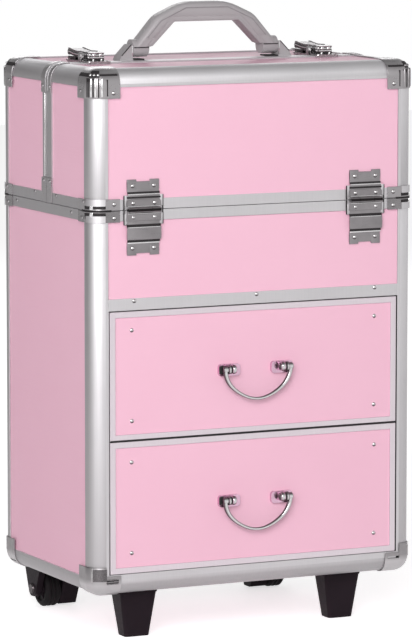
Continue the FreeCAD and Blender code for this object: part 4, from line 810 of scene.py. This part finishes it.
def leaf_parts(upper):
    """One leaf, seen from the front: across, up from the lid line, out from the board."""
    way = 1 if upper else -1
    end = 30.2 if upper else 45.2
    ramp, ramp_end = (15.5, 18.5) if upper else (30.0, 33.0)
    shapes = [slab_across([
        (way * 3.4, 1.5), (way * ramp, 1.5), (way * ramp_end, 0.0), (way * (end - 2), 0.0),
        (way * (end - 2), 1.6), (way * ramp_end, 1.6), (way * ramp, 3.1), (way * 3.4, 3.1),
    ], -LEAF_HALF, LEAF_HALF, 0.25)]
    for side in (-1, 1):
        inner, outer = sorted((side * LEAF_TAB_IN, side * LEAF_HALF))
        low, high = sorted((way * (end - LEAF_TAB), way * end))
        shapes.append(block((inner, low, 0.05), (outer, high, 1.75), 0.35))
    cut = 2.6 if upper else 0.6
    near, far = PLATE_REACH
    frame = [
        (-PLATE_HALF, near), (PLATE_HALF, near), (PLATE_HALF, far - cut), (PLATE_HALF - cut, far),
        (-PLATE_HALF + cut, far), (-PLATE_HALF, far - cut),
    ]
    if not upper:
        frame = [(x, -y) for x, y in frame]
    plate = slab(frame, 3.0, 3.75)
    top_face = max(plate.faces, key=lambda face: face.calc_center_median().z)
    bmesh.ops.inset_region(plate, faces=[top_face], thickness=0.7, depth=0.0)
    bmesh.ops.inset_region(plate, faces=[top_face], thickness=0.35, depth=-0.35)
    shapes.append(plate)
    if upper:
        shapes.append(block((-LEAF_HALF, 13.4, 3.0), (LEAF_HALF, 15.8, 3.6), 0.25))
    else:
        shapes.append(slab_across([
            (-16.8, 3.0), (-29.6, 3.0), (-29.6, 3.9), (-28.6, 4.3), (-23, 4.5), (-17.8, 4.2),
            (-16.8, 3.8),
        ], -PLATE_HALF, PLATE_HALF, 0.25))
        shapes.append(block((-LEAF_HALF, -33.2, 1.5), (LEAF_HALF, -31.9, 2.5), 0.25))
    spans = [(-TONGUE_HALF, TONGUE_HALF)] if upper else [
        (-LEAF_HALF, -TONGUE_HALF - 0.4), (TONGUE_HALF + 0.4, LEAF_HALF),
    ]
    for low, high in spans:
        near, far = sorted((0.0, way * 4.4))
        shapes.append(block((low, near, 1.55), (high, far, 3.05)))
    return shapes, spans


def hinge_places(outward_sign):
    """Where the hinges of one face of the case are."""
    y = BOARD_Y if outward_sign < 0 else 2 * MIDDLE_Y - BOARD_Y
    return [facing((x, y, LID_LINE), (0, outward_sign, 0)) for x in (-HINGE_X, HINGE_X)]


for body, upper, signs in (("front_lid", True, (-1,)), ("rear_lid", True, (1,)), ("case", False, (-1, 1))):
    places = [place for sign in signs for place in hinge_places(sign)]
    shapes, spans = leaf_parts(upper)
    assembled(
        f"{body}_hinge_stampings", [(shape, places) for shape in shapes], body, hinge_steel,
        stands_for=[f"{body}_hinge_leaves"],
    )
    assembled(f"{body}_hinge_knuckles", [
        (turned_across([
            (0, low), (KNUCKLE, low), (KNUCKLE, high), (0, high),
        ], (0, 0, PIN_OUT), 18), places)
        for low, high in spans
    ], body, knuckle_steel)
    way = 1 if upper else -1
    lines = [((-LEAF_HALF - 0.8, 11.5, 3.05), (LEAF_HALF + 0.8, 13.3, 3.2))] if upper else [
        ((-PLATE_HALF, -16.7, 3.05), (PLATE_HALF, -14.2, 3.3)),
        ((-LEAF_HALF, -31.8, 1.9), (LEAF_HALF, -29.8, 3.3)),
    ]
    if upper:
        lines.append(((-LEAF_HALF, 16.1, 1.9), (LEAF_HALF, 17.9, 2.75)))
    for side in (-1, 1):
        inner, outer = sorted((side * (WING_HALF - 0.5), side * (WING_HALF + 0.3)))
        low, high = sorted((way * 0.4, way * 14.6))
        lines.append(((inner, low, 1.5), (outer, high, 2.8)))
    assembled(
        f"{body}_hinge_shadows", [(block(low, high), places) for low, high in lines], body, painted_shade,
    )
    low, high = sorted((way * 3.5, way * 14.8))
    assembled(f"{body}_hinge_wings", [
        (block((middle - WING_WIDTH_HALF, low, 1.5), (middle + WING_WIDTH_HALF, high, 2.7), 0.3), places)
        for middle in (-WING_MIDDLE, WING_MIDDLE)
    ], body, satin_aluminium)
    lips = [(15.2, 15.9, 3.0, 3.75), (3.4, 3.9, 3.0, 3.9)] if upper else [
        (-3.9, -3.4, 3.0, 3.9), (-33.3, -32.2, 1.5, 2.7), (-17.5, -16.9, 3.0, 4.3),
    ]
    assembled(f"{body}_hinge_lips", [
        (block((-LEAF_HALF, low, out), (LEAF_HALF, high, top), 0.1), places)
        for low, high, out, top in lips
    ], body, polished_nickel)
    rivets = HINGE_RIVETS_UP if upper else HINGE_RIVETS_DOWN
    assembled(f"{body}_hinge_rivets", [
        (turned(DOME, 16), [
            place @ Matrix.Translation((across, up, out))
            for place in places for up, out in rivets for across in HINGE_RIVETS_ACROSS
        ]),
    ], body, rivet_steel)


# The rivets that hold the boards, rails and caps together: nickel-plated steel with low domed
# heads, set with a hand press. Those on the sides are given the darker nickel, as painted shade.

FRONT_RAIL_OUT = 116.9
FRONT_CAP_OUT = 118.1
FRONT_BOARD_OUT = 115.4
REAR_CAP_OUT = 110.3
SIDE_RAIL_OUT = 180.0
SIDE_CAP_OUT = 181.2
HEADER_RIVETS = (-134, 1.5, 135.7)
CASE_RAIL_RIVETS = (69.1, -67.6)
CASE_CAP_RIVETS = (88.5, -96.3)
LID_SIDE_RIVETS = {
    "front_lid": ((-93.2, 553.7), (-17.4, 553.3), (-17.3, 457.8), (-99, 444.4), (-30.5, 444.5)),
    "rear_lid": ((85.4, 553.7), (-0.6, 553.3), (-1.9, 457.8), (91.2, 444.4), (22.7, 444.5)),
}


def face_place(face, across, height, out):
    """A place on one of the case's faces: across it, above the floor, and out from the middle."""
    if face == "front":
        return facing((across, -out, height), (0, -1, 0))
    if face == "rear":
        return facing((across, out, height), (0, 1, 0))
    sign = 1 if face == "right" else -1
    return facing((sign * out, across, height), (sign, 0, 0))


rivet_spots = {
    "case": [("front", x, 345.4, FRONT_RAIL_OUT) for x in HEADER_RIVETS],
    "front_lid": [],
    "rear_lid": [],
    "upper_drawer": [("front", x, z, FRONT_BOARD_OUT) for x in (-136, 136) for z in (316, 225)],
    "lower_drawer": [("front", x, z, FRONT_BOARD_OUT) for x in (-136.5, 136.5) for z in (183.5, 91.8)],
}
for lid, face, out in (("front_lid", "front", FRONT_CAP_OUT), ("rear_lid", "rear", REAR_CAP_OUT)):
    for side in (-1, 1):
        rivet_spots["case"].append((face, side * 156, 428.8, out))
        rivet_spots[lid] += [(face, side * 156.3, 552.5, out), (face, side * 156, 442.5, out)]
for face in ("left", "right"):
    rivet_spots["case"] += [(face, y, 431, SIDE_RAIL_OUT) for y in CASE_RAIL_RIVETS]
    rivet_spots["case"] += [(face, y, 428.6, SIDE_CAP_OUT) for y in CASE_CAP_RIVETS]
    for lid, (*on_caps, on_rail) in LID_SIDE_RIVETS.items():
        rivet_spots[lid] += [(face, *spot, SIDE_CAP_OUT) for spot in on_caps]
        rivet_spots[lid].append((face, *on_rail, SIDE_RAIL_OUT))
for body, spots in rivet_spots.items():
    for group, faces, metal in (
        ("rivets", ("front", "rear"), rivet_steel), ("side_rivets", ("left", "right"), hazy_shaded_nickel),
    ):
        chosen = [face_place(*spot) for spot in spots if spot[0] in faces]
        if chosen:
            assembled(f"{body}_{group}", [(turned(DOME, 16), chosen)], body, metal)


# The latches: a cast lever with curled edges that swings over a drum on the rear half-lid and
# draws down the tongue of the keeper on the front one, whose hook block stands before the seam.

LATCH_X = 129.0
LEVER_HALF = 8.5
HOOK_HALF = 7.0
HOOK_BELTS = ((580.2, 581.7), (585.1, 586.4))
HOOK_GAPS = ((577.6, 580.2), (581.7, 582.4), (584.5, 585.1))
HOOK_RIVET_Z = 583.5
BASE_HALF = 7.4
BASE_WALLS = ((-10.2, -8.6), (8.6, 10.2))
LATCH_RIVET_STEP = 9.5
LATCH_RIVET_DEPTHS = {"front_lid": -21.6, "rear_lid": 27.5}
LEVER_SIDE = [
    (-2.6, 581.0), (14.1, 580.4), (27.4, 581.9), (32.7, 581.6), (34.7, 582.7), (34.1, 586.7),
    (29.7, 586.6), (12.2, 584.8), (-2.6, 585.0),
]
LEVER_MIDDLE = [(-1.5, 583.4), (12.5, 583.0), (20.5, 583.4), (28.5, 584.7), (34.6, 585.1)]
LEVER_TOP = [(-1.5, 586.2), (12.2, 585.9), (21, 586.7), (29.7, 587.9), (34.0, 588.0)]
SMALL_DOME = [(radius * 0.65, height * 0.6) for radius, height in DOME]
TINY_DOME = [(radius * 0.6, height) for radius, height in DOME]

coat(["latch_keepers", "latch_bases"], soft_nickel, 0.00025)
coat(["left_latch_lever", "right_latch_lever"], hazy_shaded_nickel, 0.0004)

# A nickel painted dark as shade: on the lever's flanks, on the channels under the lever and on the axle
# heads inside the wheel brackets.
dark_nickel = Finish("dark_nickel", SHADED_NICKEL, 0.22, 1.0)
dark_nickel.mottled(NICKEL_DARKEST, SHADED_NICKEL, 150)
dark_nickel.hazed(0.16, 0.34)


def ribbon(points, thick):
    """The outline of a strip that follows some points."""
    over = [(along, height + thick / 2) for along, height in points]
    under = [(along, height - thick / 2) for along, height in reversed(points)]
    return over + under


for name, side in (("left", TO_LEFT), ("right", AS_IS)):
    for part, outline, half, rounding, inset, plating in (
        ("flanks", LEVER_SIDE, 0.3, 0, 0, dark_nickel),
        ("beads", ribbon(LEVER_MIDDLE, 1.2), 0.75, 0.3, 0, polished_nickel),
        ("curls", ribbon(LEVER_TOP, 1.5), 0.7, 0.4, 0.6, bright_nickel),
    ):
        assembled(f"{name}_lever_{part}", [
            (slab_across(outline, edge - half, edge + half, rounding), [side])
            for edge in (LATCH_X - LEVER_HALF + inset, LATCH_X + LEVER_HALF - inset)
        ], f"{name}_latch_lever", plating)

belt_low, belt_high = (LATCH_X - HOOK_HALF - 0.6, -19.5), (LATCH_X + HOOK_HALF + 0.6, -10.4)
assembled("latch_hook_belts", [
    (block((*belt_low, low), (*belt_high, high), 0.5), BOTH_SIDES) for low, high in HOOK_BELTS
] + [
    (turned(DOME, 14), [
        side @ facing((LATCH_X + step, -18.8, HOOK_RIVET_Z), (0, -1, 0))
        for side in BOTH_SIDES for step in (-3.6, 3.6)
    ]),
    (turned(DOME, 14), [
        side @ facing((LATCH_X + way * (HOOK_HALF - 0.1), -14.8, HOOK_RIVET_Z), (way, 0, 0))
        for side in BOTH_SIDES for way in (-1, 1)
    ]),
    (turned(TINY_DOME, 12), [
        side @ facing((LATCH_X + step, -18.9, 578.8), (0, -1, 0))
        for side in BOTH_SIDES for step in (-4.5, 4.5)
    ]),
], "front_lid", polished_nickel)
assembled("latch_hook_shadows", [
    (block((LATCH_X - HOOK_HALF - 0.25, -19.15, low), (LATCH_X + HOOK_HALF + 0.25, -10.4, high)),
     BOTH_SIDES)
    for low, high in HOOK_GAPS
], "front_lid", painted_shade)
# The channels under the lever are given the nickel painted dark as shade.
assembled("latch_base_channels", [
    (block((LATCH_X - BASE_HALF, 11.5, 577.3), (LATCH_X + BASE_HALF, 29.5, 579.6), 0.5), BOTH_SIDES),
] + [
    (block((LATCH_X + low, 14.0, 577.3), (LATCH_X + high, 31.0, 580.6), 0.4), BOTH_SIDES)
    for low, high in BASE_WALLS
], "rear_lid", dark_nickel)
for body, depth in LATCH_RIVET_DEPTHS.items():
    assembled(f"{body}_latch_rivets", [
        (turned(SMALL_DOME, 14), [
            side @ Matrix.Translation((LATCH_X + step, depth, 577.5))
            for side in BOTH_SIDES for step in (-LATCH_RIVET_STEP, LATCH_RIVET_STEP)
        ]),
    ], body, rivet_steel)


# The drawer pulls: a drop bail cast in nickel-plated zinc, thick at its ends and thin in the
# middle, that swings on the round lugs of two small plates screwed to the drawer's face.

PULL_AXIS_Y = -123.4
PULL_HEIGHTS = {"upper": 271.5, "lower": 138.5}
BAIL_HALF = 36.5
BAIL_DROP = 31.0
BAIL_END = (2.35, 2.9)
BAIL_MIDDLE = (1.5, 1.9)
BAIL_LEAN = 0.05
BAIL_CORNERS = 16
BAIL_STEPS = 36
BAIL_RING = 10
BAIL_TAPER = 1.4
BAIL_FLATNESS = 0.7
BAIL_EYE = [(0, 34.05), (3.0, 34.05), (3.4, 34.5), (3.4, 38.2), (2.7, 38.9), (0, 39.1)]
BAIL_PIN = [(0, 24.8), (1.35, 24.8), (1.35, 34.2), (0, 34.2)]
KNOB = [
    (0, 23.6), (1.8, 23.8), (3.4, 24.6), (4.4, 26.0), (4.7, 27.4), (4.4, 28.8), (3.6, 29.9),
    (3.6, 31.2),
]
KNOB_RING = [(4.3, 31.4), (4.7, 31.8), (4.7, 33.2), (4.3, 33.6)]
KNOB_GAP = [(4.27, 29.6), (4.27, 31.6)]
LUG_SHADOWS = ((36.2, 40.9, 4.6, 3), (31.2, 34.0, 5, 3.4))
BAIL = (0.46, 0.445, 0.452)
PULL_PLATE = (0.72, 0.47, 0.60)
PULL_PLATE_DULL = (0.62, 0.41, 0.52)

# Painted light: faces that look straight forward are painted light as a highlight, the rest darker as
# shade.
bail_nickel = Finish("bail_nickel", BAIL, 0.16, 1.0)
bail_lit_front = bail_nickel.between(bail_nickel.along("Normal", "Y"), 0, 1, -1.0, -0.55)
bail_nickel.tint(bail_lit_front, POLISHED_DULL, SHADED_NICKEL)
bail_nickel.hazed(0.12, 0.24)

# The plates' pink is a painted reflection of the pink drawer front around them.
pull_plate = Finish("pull_plate", PULL_PLATE, 0.2, 1.0)
pull_plate.mottled(PULL_PLATE_DULL, PULL_PLATE, 120)
pull_plate.hazed(0.14, 0.28)
coat(["upper_drawer_pull_posts", "lower_drawer_pull_posts"], pull_plate, 0.0004)


def drop_bail(height):
    """The bail: a ring of points is swung through half a turn, then drawn out to its oval."""
    shape = bmesh.new()
    ring = bmesh.ops.create_circle(shape, segments=BAIL_CORNERS, radius=1)["verts"]
    bmesh.ops.translate(shape, vec=(BAIL_RING, 0, 0), verts=ring)
    bmesh.ops.spin(
        shape, geom=shape.verts[:] + shape.edges[:], cent=(0, 0, 0), axis=(0, 1, 0),
        dvec=(0, 0, 0), angle=math.pi, steps=BAIL_STEPS,
    )
    bmesh.ops.remove_doubles(shape, verts=shape.verts, dist=0.0005)
    for corner in shape.verts:
        swing = math.atan2(abs(corner.co.z), corner.co.x)
        out = math.hypot(corner.co.x, corner.co.z) - BAIL_RING
        thin = max(math.sin(swing), 0) ** BAIL_TAPER
        wide = BAIL_END[0] + (BAIL_MIDDLE[0] - BAIL_END[0]) * thin
        deep = BAIL_END[1] + (BAIL_MIDDLE[1] - BAIL_END[1]) * thin
        slope = Vector((BAIL_DROP * math.cos(swing), 0, -BAIL_HALF * math.sin(swing))).normalized()
        flat = math.copysign(abs(corner.co.y) ** BAIL_FLATNESS, corner.co.y)
        drop = BAIL_DROP * math.sin(swing) * (1 - BAIL_LEAN * math.sin(2 * swing) ** 2)
        middle = Vector((BAIL_HALF * math.cos(swing), 0, -drop))
        corner.co = middle + slope * out * wide + Vector((0, flat * deep, 0))
    bmesh.ops.translate(shape, vec=(0, PULL_AXIS_Y, height), verts=shape.verts)
    bmesh.ops.holes_fill(shape, edges=[edge for edge in shape.edges if edge.is_boundary])
    return shape


for level, height in PULL_HEIGHTS.items():
    axis = (0, PULL_AXIS_Y, height)
    assembled(f"{level}_bail", [
        (drop_bail(height), (AS_IS,)),
        (turned_across(BAIL_EYE, axis), BOTH_SIDES),
        (turned_across(BAIL_PIN, axis, 12), BOTH_SIDES),
    ], f"{level}_drawer_pull", bail_nickel, stands_for=[f"{level}_drawer_pull"])
    assembled(f"{level}_pull_knobs", [
        (turned_across(KNOB, axis), BOTH_SIDES),
        (turned_across(KNOB_RING, axis), BOTH_SIDES),
    ], f"{level}_drawer", bail_nickel)
    assembled(f"{level}_pull_shadows", [
        (turned_across(KNOB_GAP, axis), BOTH_SIDES),
    ] + [
        (block((near, -119.15, height - down), (far, -118.3, height + up), 0.3), BOTH_SIDES)
        for near, far, down, up in LUG_SHADOWS
    ], f"{level}_drawer", painted_shade)


# The feet and the wheel brackets: black plastic, injection moulded with a faint grain. The two feet
# are screwed under the bottom board in front, and the brackets to the foot of the back board.

BLACK = (0.0117, 0.0073, 0.0104)
BLACK_WORN = (0.0221, 0.0146, 0.0195)

black_plastic = Finish("black_plastic", BLACK, 0.42, gloss=0.08)
black_plastic.mottled(BLACK, BLACK_WORN, 30, 3)
black_plastic.hazed(0.36, 0.52, 500)
black_plastic.raised(black_plastic.noise(1400, 2), 0.00003, 0.6)
coat(["front_feet", "wheel_brackets"], black_plastic, 0.0005)


# The edges of the front opening: a narrow aluminium return behind the left post's edge, and behind
# the right one a black strip that paints the shade in that gap. Both stand just clear of the drawers.

OPENING_RETURN = ((161.15, -116.1, 71.0), (162.6, -112.5, 335.5))
OPENING_SHADE = ((161.15, -116.4, 71.0), (163.0, -112.5, 335.5))

assembled("opening_return", [
    (block(*OPENING_RETURN, 0.15), (TO_LEFT,)),
], "case", satin_aluminium)
assembled("opening_shade", [
    (block(*OPENING_SHADE, 0.15), (AS_IS,)),
], "case", painted_shade)


# The strips in the gap between the drawers: black strips that paint the shade in the gap.
# One lies on top of the lower drawer's front and one wraps the lower edge of the upper drawer's.

LOWER_GAP_SHADE = ((-160.0, -116.3, 204.2), (160.0, -114.6, 205.1))
UPPER_GAP_SHADE = ((-160.2, -117.15, 205.7), (160.2, -116.5, 206.5))

assembled("lower_drawer_gap_shade", [
    (block(*LOWER_GAP_SHADE, 0.15), (AS_IS,)),
], "lower_drawer", painted_shade)
assembled("upper_drawer_gap_shade", [
    (block(*UPPER_GAP_SHADE, 0.1), (AS_IS,)),
], "upper_drawer", painted_shade)


# The carry handle: grey plastic, moulded in one piece and pinned between two wedges on the rear
# half-lid. It has a raised panel and a moulding line on both faces, and swells inside the arch.

HANDLE_Y = 4.6
SWELL_HALF = 9.95
PANEL_HALF = 10.3
LINE_DEPTHS = ((-10.5, -10.1), (10.1, 10.5))
GREY = (0.405, 0.382, 0.394)
GREY_DARK = (0.365, 0.345, 0.356)
GREY_DIM = (0.17, 0.155, 0.163)
PANEL_OUTER = [(67.3, 598.4), (51.6, 616.0), (23.8, 628.5)]
PANEL_INNER = [(39.1, 619.3), (57.8, 598.4)]
LINE_INNER = [(23.6, 627.5), (51.0, 615.2), (66.4, 598.4)]
SWELL_OUTER = [(66.0, 589.9), (58.0, 604.0), (42.0, 621.0), (22.0, 625.0)]
SWELL_INNER = [(36.2, 614.3), (60.9, 589.9)]
JOINT_LINE = ((65.0, -5.5, 588.6), (81.6, 14.7, 589.4))
END_SHADOW = ((69.5, -3.9, 576.0), (82.3, 13.1, 577.5))
WEDGE_EDGE_SHADE = [(95.3, 581.3), (84.6, 592.3), (84.0, 591.7), (94.7, 580.7)]
WEDGE_HIGHLIGHT = ((82.45, -4.35, 578.0), (83.5, -3.5, 590.8))

grey_plastic = Finish("grey_plastic", GREY, 0.4)
grey_plastic.mottled(GREY_DARK, GREY, 24, 3)
grey_plastic.hazed(0.32, 0.46)
grey_plastic.raised(grey_plastic.noise(1200, 2), 0.00002, 0.5)
coat(["carry_handle", "handle_brackets"], grey_plastic, 0.0006)

dim_plastic = Finish("dim_plastic", GREY_DIM, 0.5)
dim_plastic.mottled(GREY_DIM, GREY_DARK, 60)
dim_plastic.hazed(0.42, 0.56)


def slab_through(outline, low, high, edge=0.0):
    """An (X, Z) outline made solid along Y from low to high."""
    shape = slab(outline, -high, -low, edge)
    bmesh.ops.rotate(shape, matrix=Matrix.Rotation(math.radians(90), 3, "X"), verts=shape.verts)
    return shape


def over_arch(outer, inner):
    """An outline over the whole arch, from the outer and inner points of its right half."""
    return outer + [(-x, z) for x, z in reversed(outer)] + [(-x, z) for x, z in reversed(inner)] + inner


swell = over_arch(SWELL_OUTER, SWELL_INNER)
panel = over_arch(PANEL_OUTER, PANEL_INNER)
assembled("handle_panel", [
    (slab_through(swell, HANDLE_Y - SWELL_HALF, HANDLE_Y + SWELL_HALF, 1.0), (AS_IS,)),
    (slab_through(panel, HANDLE_Y - PANEL_HALF, HANDLE_Y + PANEL_HALF, 0.35), (AS_IS,)),
], "carry_handle", grey_plastic)
assembled("handle_moulding_line", [
    (slab_through(over_arch(PANEL_OUTER, LINE_INNER), HANDLE_Y + low, HANDLE_Y + high), (AS_IS,))
    for low, high in LINE_DEPTHS
], "carry_handle", dim_plastic)
# Dark sheets paint the shade in the joint across each arm's end, under the arm's ends and along the
# wedges' slanted edges.
assembled("handle_joint_lines", [
    (block(*JOINT_LINE), BOTH_SIDES),
], "carry_handle", painted_shade)
assembled("handle_end_shadows", [
    (block(*END_SHADOW, 0.4), BOTH_SIDES),
    (slab_through(WEDGE_EDGE_SHADE, -4.15, -3.6), BOTH_SIDES),
], "rear_lid", painted_shade)
# A polished strip on each wedge paints the highlight on its lit inner face.
assembled("handle_wedge_highlights", [
    (block(*WEDGE_HIGHLIGHT, 0.2), BOTH_SIDES),
], "rear_lid", polished_nickel)


# The wheels: a rubber tread moulded on a black plastic hub with six spokes and a raised ring. Each
# turns on a steel axle through its bracket.

WHEEL_X = 131.0
AXLE_Y = 108.1
AXLE_Z = 19.5
SPOKES = 6
SPOKE = ((-0.9, 8.2, 6.6), (0.9, 13.4, 8.1))
HUB_RING = [(6.2, 8.2), (6.9, 8.9), (8.3, 8.9), (8.9, 8.0), (8.9, 6.4)]
RUBBER = (0.009, 0.008, 0.009)
RUBBER_DUSTY = (0.020, 0.018, 0.019)

wheel_rubber = Finish("wheel_rubber", RUBBER, 0.62, gloss=0.10)
wheel_rubber.mottled(RUBBER, RUBBER_DUSTY, 60, 4)
wheel_rubber.raised(wheel_rubber.noise(900, 2), 0.00004, 0.6)
coat(["left_wheel", "right_wheel"], wheel_rubber, 0.0005)
# The axle heads are given the nickel painted dark as shade.
coat(["wheel_axles"], dark_nickel, 0.0003)

for name, side in (("left", TO_LEFT), ("right", AS_IS)):
    places = [
        side @ Matrix.Translation((WHEEL_X, AXLE_Y, AXLE_Z))
        @ Matrix.Rotation(math.radians(turn), 4, "Y")
        for turn in (90, -90)
    ]
    assembled(f"{name}_wheel_hub", [
        (block(*SPOKE, 0.3), [
            place @ Matrix.Rotation(math.tau * number / SPOKES, 4, "Z")
            for place in places for number in range(SPOKES)
        ]),
        (turned(HUB_RING, 28), places),
    ], f"{name}_wheel", black_plastic)


# The telescopic handle: aluminium tubes that slide in one another, between black plastic cross bars
# with raised panels. Cross-head screws hold the bars and the wheel brackets to the back board.

BAR_REAR = 126.6
FLANGE_REAR = 113.1
BAR_PANELS = ((394, 406), (78, 92))
GRIP_RIBS = 9
GRIP_RIB_STEP = 6
GRIP_RIB = ((29, 125.7, 421.5), (32, 126.6, 427))
BAR_SCREW_X = 88
BAR_SCREW_Z = (400, 85)
FLANGE_MIDDLE = 125
FLANGE_SCREW_STEP = 15
FLANGE_SCREW_Z = (74, 57)
SCREW_CROSS = ((-2.1, -0.42, 0.9), (2.1, 0.42, 1.58))
SCREW_HEAD = [(0, 1.5), (1.6, 1.4), (2.9, 1.0), (3.5, 0.35), (3.6, -0.2)]
CROSS_TURNS = (28, 118)

coat(["trolley_outer_tubes", "trolley_middle_tubes", "trolley_inner_tubes"], satin_aluminium, 0.0003)
coat(["trolley_brackets", "trolley_grip", "trolley_release_button"], black_plastic, 0.0005)
assembled("trolley_bar_panels", [
    (block((-58, BAR_REAR - 0.4, low), (58, BAR_REAR + 0.5, high), 0.35), (AS_IS,))
    for low, high in BAR_PANELS
] + [
    (block((64, BAR_REAR - 0.4, low), (81.5, BAR_REAR + 0.4, high), 0.3), BOTH_SIDES)
    for low, high in BAR_PANELS
], "case", black_plastic)
assembled("trolley_grip_ribs", [
    (block(*GRIP_RIB, 0.4), [
        side @ Matrix.Translation((GRIP_RIB_STEP * rib, 0, 0))
        for rib in range(GRIP_RIBS) for side in BOTH_SIDES
    ]),
], "trolley_handle", black_plastic)
screw_places = [
    face_place("rear", side * BAR_SCREW_X, height, BAR_REAR - 0.1)
    for side in (-1, 1) for height in BAR_SCREW_Z
] + [
    face_place("rear", side * (FLANGE_MIDDLE + step), height, FLANGE_REAR - 0.1)
    for side in (-1, 1) for step in (-FLANGE_SCREW_STEP, FLANGE_SCREW_STEP) for height in FLANGE_SCREW_Z
]
assembled("trolley_screws", [
    (turned(SCREW_HEAD, 20), screw_places),
], "case", zinc_plate)
# The crosses are dark sheets that paint the shade in the screws' cross recesses.
assembled("trolley_screw_crosses", [
    (block(*SCREW_CROSS), [
        place @ Matrix.Rotation(math.radians(turn), 4, "Z")
        for place in screw_places for turn in CROSS_TURNS
    ]),
], "case", painted_shade)
